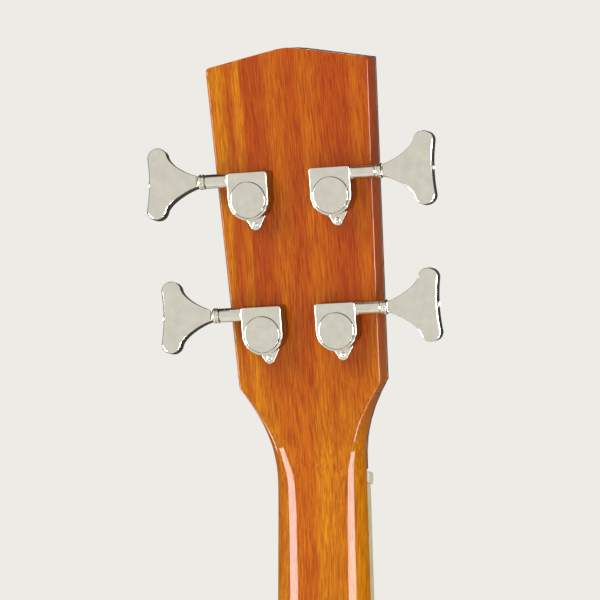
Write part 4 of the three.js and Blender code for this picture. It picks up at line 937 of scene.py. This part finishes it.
def bridge_faces(rows):
    """The skin of the bridge, its top closed by bars across from rim to rim."""
    count, size = rows.shape[:2]
    faces = skin((count, size), caps=(False, True))
    middle = size // 2
    order = np.argsort(-rows[0, :, 0], kind="stable")
    upper = [i for i in order if rows[0, i, 2] > rows[0, :, 2].mean()]
    lower = [i for i in order if rows[0, i, 2] <= rows[0, :, 2].mean()]
    pairs = min(len(upper), len(lower), middle)
    strips = [[int(upper[i]), int(upper[i + 1]), int(lower[i + 1]), int(lower[i])]
              for i in range(pairs - 1)]
    return faces + strips


bridge = make_bridge()
place_piece("bridge_bar", on_layout(bridge), bridge_faces(bridge), "instrument", OILED_ROSEWOOD,
            ["bridge"], sharp=50.0)


# Bridge pins and end pin: turned on a lathe, the pins of bone and the strap button of rosewood.
# The pins are pushed into the bridge behind the saddle and hold the strings' ends in their holes.
PIN_ROW, PIN_SHOULDER, STRING_SPACING_AT_SADDLE, END_PIN_OUT = -828.8, -8.9, 18.0, 62.75
STRINGS = ("e", "a", "d", "g")


def lathe(profile, columns=40):
    """A profile of (radius, height) pairs turned about Y: one row of points for each pair."""
    angle = np.linspace(0, 2 * np.pi, columns, endpoint=False)
    profile = np.asarray(profile, float)
    radius, height = profile[:, :1], profile[:, 1:]
    return np.stack([radius * np.cos(angle), height + 0 * angle, radius * np.sin(angle)], axis=2)


def lathe_faces(rows):
    return skin(rows.shape[:2], caps=(True, True))


def make_pins():
    profile = np.vstack([[(0.0, -12.9)], arc((0.0, -8.9), 4.0, -80, -30, 6),
                         arc((3.9, -10.1), 0.7, -60, 60, 5),
                         [(3.6, -9.0), (3.45, PIN_SHOULDER), (2.9, 9.1), (0.0, 9.1)]])
    for i, name in enumerate(STRINGS):
        rows = lathe(profile) + [(i - 1.5) * STRING_SPACING_AT_SADDLE, 0.0, PIN_ROW]
        fixed_piece(f"string_pin_{name}", rows, BONE, "bone", f"bridge_pin_{name}", 45.0,
                    caps=(True, True))


def make_end_pin():
    profile = np.vstack([[(0.0, -15.0), (6.6, -15.0)], arc((7.2, -13.6), 1.3, -90, 60, 7),
                         arc((10.6, -8.0), 5.0, 145, 215, 8)[::-1], arc((6.6, -2.0), 0.9, -60, 60, 5),
                         [(7.2, -0.3), (5.4, -0.3), (5.2, 21.0), (0.0, 21.0)]])
    rows = lathe(profile, 56)[..., [0, 2, 1]] + [0.0, END_PIN_OUT, BODY_TOP - BODY_LENGTH]
    fixed_piece("strap_button", rows, OILED_ROSEWOOD, "rosewood", "end_pin", 45.0, caps=(True, True))


make_pins()
make_end_pin()


# Tuners: cast zinc housings with a round pressed cover, a shaft in a tube, a flat Y-shaped key,
# and a post with its bushing in front. All are plated with satin nickel, which gives a pale,
# warm, soft-edged mirror. They are worked out for the treble side and mirrored.
TUNERS = {"e": (-17.6, 67.8), "a": (-19.6, 129.8), "d": (19.6, 129.8), "g": (17.6, 67.8)}
HOUSING_HALF, HOUSING_TOP, HOUSING_HEIGHT = 9.5, 12.7, 11.2
WORM_OUT, WORM_UP = 6.5, 9.4
COVER_RADIUS, COVER_SEAT, COVER_EDGE = 8.25, 9.6, 11.5
TAB_TIP, TAB_TIP_RADIUS, TAB_HALF, TAB_THICKNESS = 14.6, 2.3, 6.5, 1.5
SLEEVE_RADIUS, SLEEVE_END = 3.2, 20.6
SCREW_UP, SCREW_RADIUS = -12.0, 1.35


def satin_nickel(name, sides):
    """Plated zinc: a mirror softened by fine polishing marks too small to see one by one. Its colour
    is painted darker on sides, which look along the headstock, down to the share sides: painted shade."""
    material, tree = new_material(name)
    facing = vector(tree, "DOT_PRODUCT", coordinates(tree, "Normal"), HEAD_OUT.tolist(), result="Value")
    # painted shade: the colour is darkened on faces that turn away from the headstock's out direction
    painted_side_shade = remap(tree, scalar(tree, "ABSOLUTE", facing), (0.1, 0.75), (sides, 1.0), smooth=True)
    cloud = noise(tree, coordinates(tree), 260.0, 3.0)
    colour = ramp(tree, cloud, [(0.3, "EAE7DC"), (0.7, "F4F1E7")])
    return coated(material, base_color=vector(tree, "MULTIPLY", colour, painted_side_shade), metallic=1.0,
                  roughness=remap(tree, cloud, target=(0.08, 0.13)))


# The second number is the share of colour left on the sides: painted shade.
CAST_NICKEL = satin_nickel("satin_nickel_castings", 0.35)
NICKEL = satin_nickel("satin_nickel_turned", 0.8)
BRASS = plain_gloss("machined_brass", "B8924A", 0.3, 1.0)


def at_tuner(rows, name):
    """Points (outward, back, up) from a post's foot on the back face, put on the headstock."""
    across, up = TUNERS[name]
    side = np.sign(across)
    return on_head(np.asarray(rows) * [side, 1, 1] + [across, HEAD_THICKNESS, up])


def tuner_piece(kind, name, rows, faces, body, material, node=None, sharp=35.0):
    """A plated piece of one tuner, from points about its post's foot."""
    place_piece(f"{kind}_{name}", at_tuner(rows, name), faces, body, material,
                [f"{node}_{name}"] if node else (), sharp)


def along_x(rows):
    """A solid turned about Y, laid over so that its axis is the worm's."""
    return rows[..., [1, 0, 2]] + [0.0, WORM_OUT, WORM_UP]


def housing_outline(count=200):
    """A flat top with round corners, straight sides and a half circle below."""
    corner = 1.0
    line = np.vstack([arc((0.0, 0.0), HOUSING_HALF, 180, 360, 60),
                      arc((HOUSING_HALF - corner, HOUSING_TOP - corner), corner, 0, 90, 6),
                      arc((corner - HOUSING_HALF, HOUSING_TOP - corner), corner, 90, 180, 6)])
    return spread(line, count)


def housing_parts():
    """The cup with a round recess for the cover, its tab and the shaft's tube."""
    shape = housing_outline()
    rim = slab_rows(shape, SEAM, HOUSING_HEIGHT, 0.0, 0.35)
    ring = circle(np.arctan2(shape[:, 1], shape[:, 0])) * (COVER_RADIUS + 0.28)
    recess = [np.insert(ring * share, 1, depth, axis=1) for share, depth in (
        (1.0, HOUSING_HEIGHT), (0.99, HOUSING_HEIGHT - 0.15), (0.99, COVER_SEAT))]
    cup = np.concatenate([rim[:-1], recess])
    hinge = np.array([[TAB_HALF, -5.7], [-TAB_HALF, -5.7]])
    tip = arc((0.0, TAB_TIP_RADIUS - TAB_TIP), TAB_TIP_RADIUS, 205, 335, 12)
    tab = slab_rows(spread(np.vstack([hinge, tip]), 90), SEAM, SEAM + TAB_THICKNESS, 0.0, 0.4)
    tube = along_x(lathe([(0.0, 8.0), (3.5, 8.0), (3.5, 9.7), (3.25, 10.3), (SLEEVE_RADIUS, 10.6),
                          (SLEEVE_RADIUS, SLEEVE_END - 0.3), (SLEEVE_RADIUS - 0.3, SLEEVE_END),
                          (0.0, SLEEVE_END)]))
    return [(part, lathe_faces(part)) for part in (cup, tab, tube)]


def cross_screw(radius, height, depth=0.55):
    """A pan head on a polar grid: a dome, cut by a cross whose arms fade at the rim."""
    angle = np.radians(np.arange(0, 360, 5.0))
    ring = np.linspace(1.0, 0.06, 16)[:, None]
    x, z = ring * np.cos(angle), ring * np.sin(angle)
    dome = height * (0.55 + 0.45 * np.sqrt(np.clip(1 - ring ** 2, 0, 1)))
    slit = np.minimum(np.abs(x), np.abs(z))
    cross = np.clip((0.15 - slit) / 0.06, 0, 1) * np.clip((0.66 - ring) / 0.1, 0, 1)
    top = np.stack([radius * x, dome - depth * height * cross, radius * z], axis=2)
    foot = np.insert(radius * circle(angle), 1, -0.4, axis=1)
    rows = np.concatenate([foot[None], top])
    return rows, lathe_faces(rows)


def make_housing(name):
    points, faces = stacked(housing_parts())
    tuner_piece("housing", name, points, faces, "instrument", CAST_NICKEL, "tuner_housing")
    rim = arc((COVER_RADIUS - 0.3, COVER_EDGE), 0.3, 0, 90, 5).tolist()
    cover = lathe([(0.0, COVER_SEAT), (COVER_RADIUS, COVER_SEAT), (COVER_RADIUS, COVER_EDGE), *rim,
                   (COVER_RADIUS - 0.7, 11.82), (4.0, 11.87), (0.0, 11.9)], 96)
    tuner_piece("cover", name, cover, lathe_faces(cover), "instrument", CAST_NICKEL, "tuner_cover")
    rows, faces = cross_screw(SCREW_RADIUS, 0.75)
    rows = rows + [0.0, SEAM + TAB_THICKNESS, SCREW_UP]
    tuner_piece("housing_screw", name, rows, faces, "instrument", CAST_NICKEL, sharp=60.0)
    dress(f"worm_wheel_{name}", BRASS)


# Key shaft: the worm, its journal and the collar are one turned and threaded piece. Its radius
# is a function of the place along the axis and, at the thread, of the angle.
WORM_TIP, WORM_ROOT, WORM_HALF_LENGTH, WORM_LEAD = 2.4, 1.5, 4.0, 2.8667
SHAFT_PROFILE = [(-7.0, 1.45), (-4.05, 1.45), (-4.0, 1.5), (4.0, 1.5), (4.05, 2.35), (20.8, 2.35),
                 (20.85, 2.35), (20.9, 3.2), (21.0, 3.4), (21.3, 3.5), (21.9, 3.5), (22.0, 3.15),
                 (22.3, 3.15), (22.4, 3.5), (23.3, 3.5), (23.5, 3.4), (23.6, 3.2), (23.65, 1.5),
                 (31.6, 1.5)]


def shaft_rows(columns=48):
    """Radius r(x, angle): the thread is a trapezoid wave of x / lead + angle / full turn."""
    knots, radii = np.array(SHAFT_PROFILE).T
    x = np.concatenate([np.linspace(*knots[:2], 4),
                        np.linspace(-WORM_HALF_LENGTH, WORM_HALF_LENGTH, 81), knots[4:]])[:, None]
    angle = np.linspace(0, 2 * np.pi, columns, endpoint=False)
    phase = (x / WORM_LEAD - (angle - np.pi / 2) / (2 * np.pi) + 0.5) % 1.0 - 0.5
    tooth = np.clip((0.22 - np.abs(phase)) / 0.09, 0, 1)
    threaded = WORM_ROOT + (WORM_TIP - WORM_ROOT) * tooth
    radius = np.where(np.abs(x) <= WORM_HALF_LENGTH, threaded, np.interp(x, knots, radii))
    return np.stack([x + 0 * angle, WORM_OUT + radius * np.cos(angle),
                     WORM_UP + radius * np.sin(angle)], axis=2)


def make_shaft(name):
    rows = shaft_rows()
    tuner_piece("key_shaft", name, rows, lathe_faces(rows), f"key_{name}", NICKEL, "worm_shaft", 30.0)


# Key: a flat casting with a narrow stem that opens into two round ears. Its rims are rolled
# over and the far end is hollowed, its wall slightly crowned, with a screw in its middle.
KEY_START, KEY_LENGTH, KEY_HALF_SPAN, KEY_STEM_HALF = 23.9, 24.2, 16.8, 2.6
EAR_RADIUS, EAR_START, EAR_RUN, KEY_HOLLOW, KEY_THICKNESS, KEY_RIM = 4.5, 192.6, 5.3, 1.3, 5.6, 0.6
END_CROWN, END_RUN = 0.9, 3.0
KEY_RESTS = {"e": 3.0, "a": 9.0, "d": 15.0, "g": 13.0}


def key_outline(count=260):
    ear_x, ear_z = KEY_LENGTH - EAR_RADIUS, KEY_HALF_SPAN - EAR_RADIUS
    lobe = arc((ear_x, -ear_z), EAR_RADIUS, EAR_START, 356.4, 26)
    start = np.radians(EAR_START)
    swell = lobe[0] + EAR_RUN * np.array([np.sin(start), -np.cos(start)])
    lower = cubic([(0.0, -KEY_STEM_HALF), (KEY_LENGTH * 0.1, -KEY_STEM_HALF), swell, lobe[0]])
    end = cubic([lobe[-1], (KEY_LENGTH - 1.05 * KEY_HOLLOW, -ear_z * 0.3),
                 (KEY_LENGTH - 1.05 * KEY_HOLLOW, ear_z * 0.3), lobe[-1] * [1, -1]])
    half = np.vstack([lower[:-1], lobe])
    return spread(np.vstack([half, end[1:-1], half[::-1] * [1, -1]]), count)


def key_rows():
    """The outline filled to its thickness, with rolled rims. The end wall is crowned: it stands
    out by c (1 - (2y/t)^2), which fades round the ears."""
    rows = slab_rows(key_outline(), -KEY_THICKNESS / 2, KEY_THICKNESS / 2, KEY_RIM, KEY_RIM, 7)
    half = len(rows) // 2
    share = np.linspace(0, 1, 7)[1:-1, None, None]
    wall = rows[half - 1] * (1 - share) + rows[half] * share
    rows = np.concatenate([rows[:half], wall, rows[half:]])
    fade = np.clip((rows[..., 0] - KEY_LENGTH + END_RUN + 1.2) / END_RUN, 0, 1)
    crown = np.clip(1 - (2 * rows[..., 1] / KEY_THICKNESS) ** 2, 0, 1)
    rows[..., 0] += END_CROWN * eased(fade) * crown
    return rows


def turned_key(rows, name):
    """Points of a key, about its shaft's axis, turned to where the last tuning left it."""
    angle = np.radians(KEY_RESTS[name])
    y, z = rows[..., 1], rows[..., 2]
    return np.stack([rows[..., 0] + KEY_START, WORM_OUT + y * np.cos(angle) - z * np.sin(angle),
                     WORM_UP + y * np.sin(angle) + z * np.cos(angle)], axis=2)


def make_key(name):
    rows = turned_key(key_rows(), name)
    tuner_piece("key", name, rows, lathe_faces(rows), f"key_{name}", CAST_NICKEL, "tuner_key", 60.0)
    screw, faces = cross_screw(1.9, 0.9)
    end = KEY_LENGTH - KEY_HOLLOW + END_CROWN - 0.35
    rows = turned_key(screw[..., [1, 0, 2]] + [end, 0.0, 0.0], name)
    tuner_piece("key_screw", name, rows, faces, f"key_{name}", NICKEL, sharp=60.0)


# String post and its bushing: a turned post with a waist for the turns and a slot across its
# top, in a threaded bushing with a hexagon head on a washer.
POST_FRONT = -HEAD_THICKNESS - 2.3 - 0.3
BUSHING_BORE, WASHER_RADIUS, WASHER_THICKNESS, HEX_RADIUS, HEX_THICKNESS = 5.35, 9.0, 0.8, 8.0, 2.4
POST_RADIUS, POST_WAIST, POST_TOP_RADIUS, POST_HEIGHT = 5.0, 4.0, 5.4, 23.5
SLOT_HALF, SLOT_DEPTH = 1.6, 7.0
POST_TOP, HEX_BACK = POST_FRONT - POST_HEIGHT, POST_FRONT - WASHER_THICKNESS
HEX_FACE = HEX_BACK - HEX_THICKNESS


def bushing_parts():
    """Washer and threaded sleeve by the lathe, and a hexagon with rounded rims."""
    rim = WASHER_RADIUS - 0.2
    washer = lathe([(BUSHING_BORE, POST_FRONT + 8), (6.4, POST_FRONT + 8), (6.4, POST_FRONT),
                    (rim, POST_FRONT), (WASHER_RADIUS, POST_FRONT - 0.2), (WASHER_RADIUS, HEX_BACK + 0.2),
                    (rim, HEX_BACK), (BUSHING_BORE, HEX_BACK)], 64)
    hexagon = spread(circle(np.radians(np.arange(0, 360, 60))) * HEX_RADIUS, 96)
    bore = circle(np.arctan2(hexagon[:, 1], hexagon[:, 0])) * BUSHING_BORE
    rows = np.concatenate([slab_rows(hexagon, HEX_FACE, HEX_BACK, 0.35, 0.0),
                           [np.insert(bore, 1, HEX_BACK, axis=1), np.insert(bore, 1, HEX_FACE, axis=1)]])
    return [(part, skin(part.shape[:2], lengthwise=True)) for part in (washer, rows)]


def post_parts():
    """A turned stem up to the slot's floor, and above it two halves whose section is a circle
    less the slot."""
    floor = POST_TOP + SLOT_DEPTH
    stem = lathe([(0.0, floor), (POST_WAIST, floor), (POST_WAIST, HEX_FACE - 1.6),
                  (POST_RADIUS, HEX_FACE - 0.4), (POST_RADIUS, -0.3), (3.9, -0.3), (3.9, 4.7), (2.8, 4.7),
                  (2.8, 8.8), (0.0, 8.8)], 56)
    solids = [stem]
    levels = [(0.0, POST_TOP_RADIUS - 0.6), (0.15, POST_TOP_RADIUS - 0.25), (0.6, POST_TOP_RADIUS),
              (2.8, POST_TOP_RADIUS), (3.3, POST_TOP_RADIUS - 0.3), (4.0, POST_WAIST),
              (SLOT_DEPTH, POST_WAIST)]
    for side in (-1, 1):
        rows = []
        for depth, radius in levels:
            open_angle = np.degrees(np.arccos(SLOT_HALF / radius))
            rim = arc((0.0, 0.0), radius, -open_angle, open_angle, 25) * [side, 1]
            rows.append(np.insert(rim, 1, POST_TOP + depth, axis=1))
        solids.append(np.array(rows))
    return [(part, lathe_faces(part)) for part in solids]


def make_post(name):
    points, faces = stacked(bushing_parts())
    tuner_piece("bushing", name, points, faces, "instrument", NICKEL, "post_bushing")
    points, faces = stacked(post_parts())
    tuner_piece("post", name, points, faces, f"post_{name}", NICKEL, "string_post", 40.0)


for name in TUNERS:
    make_housing(name)
    make_shaft(name)
    make_key(name)
    make_post(name)


# Strings: three wound with bronze wire on a steel core, the thinnest of plain steel. Each runs
# from its pin over saddle and nut, and winds round its post. The windings' 0.3 mm wire is drawn
# twice as coarse so that it shows.
STRING_DIAMETERS = {"e": 2.4, "a": 1.9, "d": 1.6, "g": 1.15}
NUT_SPACING, STRING_AT_NUT, STRING_AT_SADDLE = 11.0, -8.5, -12.7
STRING_PAST_PIN, SADDLE_CREST, STRING_FOOT, WINDING_CLEARANCE = 3.92 - 0.3, 1.6, 15.0, 0.3
SADDLE_SLANT = np.radians(2.4)
WINDING_TURNS, WINDING_GAP, WINDING_STARTS = 1.75, 0.45, {"e": 0.3, "a": 8.2, "d": 8.2, "g": 0.3}
WRAP_PITCH_MM = 0.6


def wound_bronze(name, colour, bump_strength):
    """Round-wound wire: ridges across the string, read from the map's length coordinate."""
    material, tree = new_material(name)
    run = split(tree, add(tree, "UVMap", uv_map="along").outputs[0])["X"]
    wraps = bumped(tree, ridges(tree, run, WRAP_PITCH_MM), bump_strength)
    return coated(material, base_color=linear(colour), metallic=1.0, roughness=0.3, normal=wraps)


def bend_corner(before, corner, after, reach, count=6):
    """A curve that starts and ends a given reach from a corner: (1-t)^2 A + 2t(1-t) B + t^2 C."""
    before, corner, after = (np.asarray(p, float) for p in (before, corner, after))
    start = corner + (before - corner) / np.linalg.norm(before - corner) * reach
    end = corner + (after - corner) / np.linalg.norm(after - corner) * reach
    t = np.linspace(0, 1, count)[:, None]
    return (1 - t) ** 2 * start + 2 * t * (1 - t) * corner + t ** 2 * end


def winding_points(name, nut_point):
    """A helix round the post, which the string meets on a tangent."""
    across, up = TUNERS[name]
    diameter = STRING_DIAMETERS[name]
    radius = POST_WAIST + WINDING_GAP + diameter / 2
    pitch = diameter + WINDING_GAP
    start = HEAD_THICKNESS + HEX_FACE - WINDING_CLEARANCE - 1.0 - WINDING_STARTS[name] - diameter / 2
    local = nut_point - HEAD_ORIGIN + LAYOUT_ORIGIN
    towards = np.array([local[0] - across, local @ HEAD_UP - up])
    handed = -np.sign(across)
    first = np.arctan2(towards[1], towards[0]) + handed * np.arccos(radius / np.linalg.norm(towards))
    share = np.linspace(0, WINDING_TURNS, 85)
    angle = first + handed * 2 * np.pi * share
    local = np.stack([across + radius * np.cos(angle), start - pitch * share,
                      up + radius * np.sin(angle)], axis=1)
    return on_head(local) / MM - LAYOUT_ORIGIN


def string_route(name):
    i = STRINGS.index(name)
    diameter = STRING_DIAMETERS[name]
    nut_x, end_x = (i - 1.5) * NUT_SPACING, (i - 1.5) * STRING_SPACING_AT_SADDLE
    tail = PIN_ROW + STRING_PAST_PIN - diameter / 2
    over_nut = STRING_AT_NUT - diameter / 2
    saddle_z = -SCALE_LENGTH + end_x * np.tan(SADDLE_SLANT) - SADDLE_CREST
    nut_end = np.array([nut_x, over_nut, NUT_DEPTH])
    turns = winding_points(name, nut_end)
    corners = [np.array(p, float) for p in [
        (end_x, STRING_FOOT, tail), (end_x, PIN_SHOULDER - diameter, tail),
        (end_x, STRING_AT_SADDLE - diameter / 2, saddle_z), (nut_x, over_nut, 0.0), nut_end, turns[0]]]
    route = [corners[0][None]]
    for k, reach in enumerate([3.0, 0.8, 1.5, 1.5], start=1):
        route.append(bend_corner(corners[k - 1], corners[k], corners[k + 1], reach))
    return np.vstack([*route, turns])


def tube_rows(route, radius, sides=14):
    """A round section carried along a route, its side vector turned with it without twist."""
    ahead = np.gradient(route, axis=0)
    ahead /= np.linalg.norm(ahead, axis=1, keepdims=True)
    side = np.cross([1.0, 0.0, 0.0], ahead[0])
    side /= np.linalg.norm(side)
    sides_of = np.zeros_like(route)
    for i, heading in enumerate(ahead):
        side = side - heading * (side @ heading)
        side /= np.linalg.norm(side)
        sides_of[i] = side
    other = np.cross(ahead, sides_of)
    angle = np.linspace(0, 2 * np.pi, sides, endpoint=False)[None, :, None]
    spokes = np.cos(angle) * sides_of[:, None] + np.sin(angle) * other[:, None]
    return route[:, None] + radius * spokes


def make_string(name):
    route = string_route(name)
    rows = tube_rows(route, STRING_DIAMETERS[name] / 2)
    wire = PLAIN_WIRE if name == "g" else WOUND_WIRE
    piece = fixed_piece(f"wire_{name}", rows, wire, "steel" if name == "g" else "bronze",
                        f"string_{name}", 80.0, caps=(True, True))
    run = run_along(route) * MM
    layer = piece.data.uv_layers.new(name="along")
    corner_vertex = np.zeros(len(piece.data.loops), int)
    piece.data.loops.foreach_get("vertex_index", corner_vertex)
    columns = rows.shape[1]
    station = np.minimum(corner_vertex // columns, len(run) - 1)
    turn_share = (corner_vertex % columns) / columns
    layer.data.foreach_set("uv", np.stack([run[station], turn_share], axis=1).ravel())


WOUND_WIRE = wound_bronze("wound_phosphor_bronze", "B07C3C", 0.8)
PLAIN_WIRE = plain_gloss("plain_music_wire", "B9B9B6", 0.2, 1.0)
for name in STRINGS:
    make_string(name)


# Screws of the truss rod cover: two small plated wood screws with a cross in their pan heads. They
# go through the black plate into the face of the headstock.
for label, up in (("low", 8.0), ("high", 38.5)):
    rows, faces = cross_screw(1.5, 0.7)
    rows = on_head(rows * [1, -1, 1] + [0.0, -4.6, up])
    place_piece(f"rod_cover_screw_{label}", rows, faces, "instrument", NICKEL, sharp=60.0)
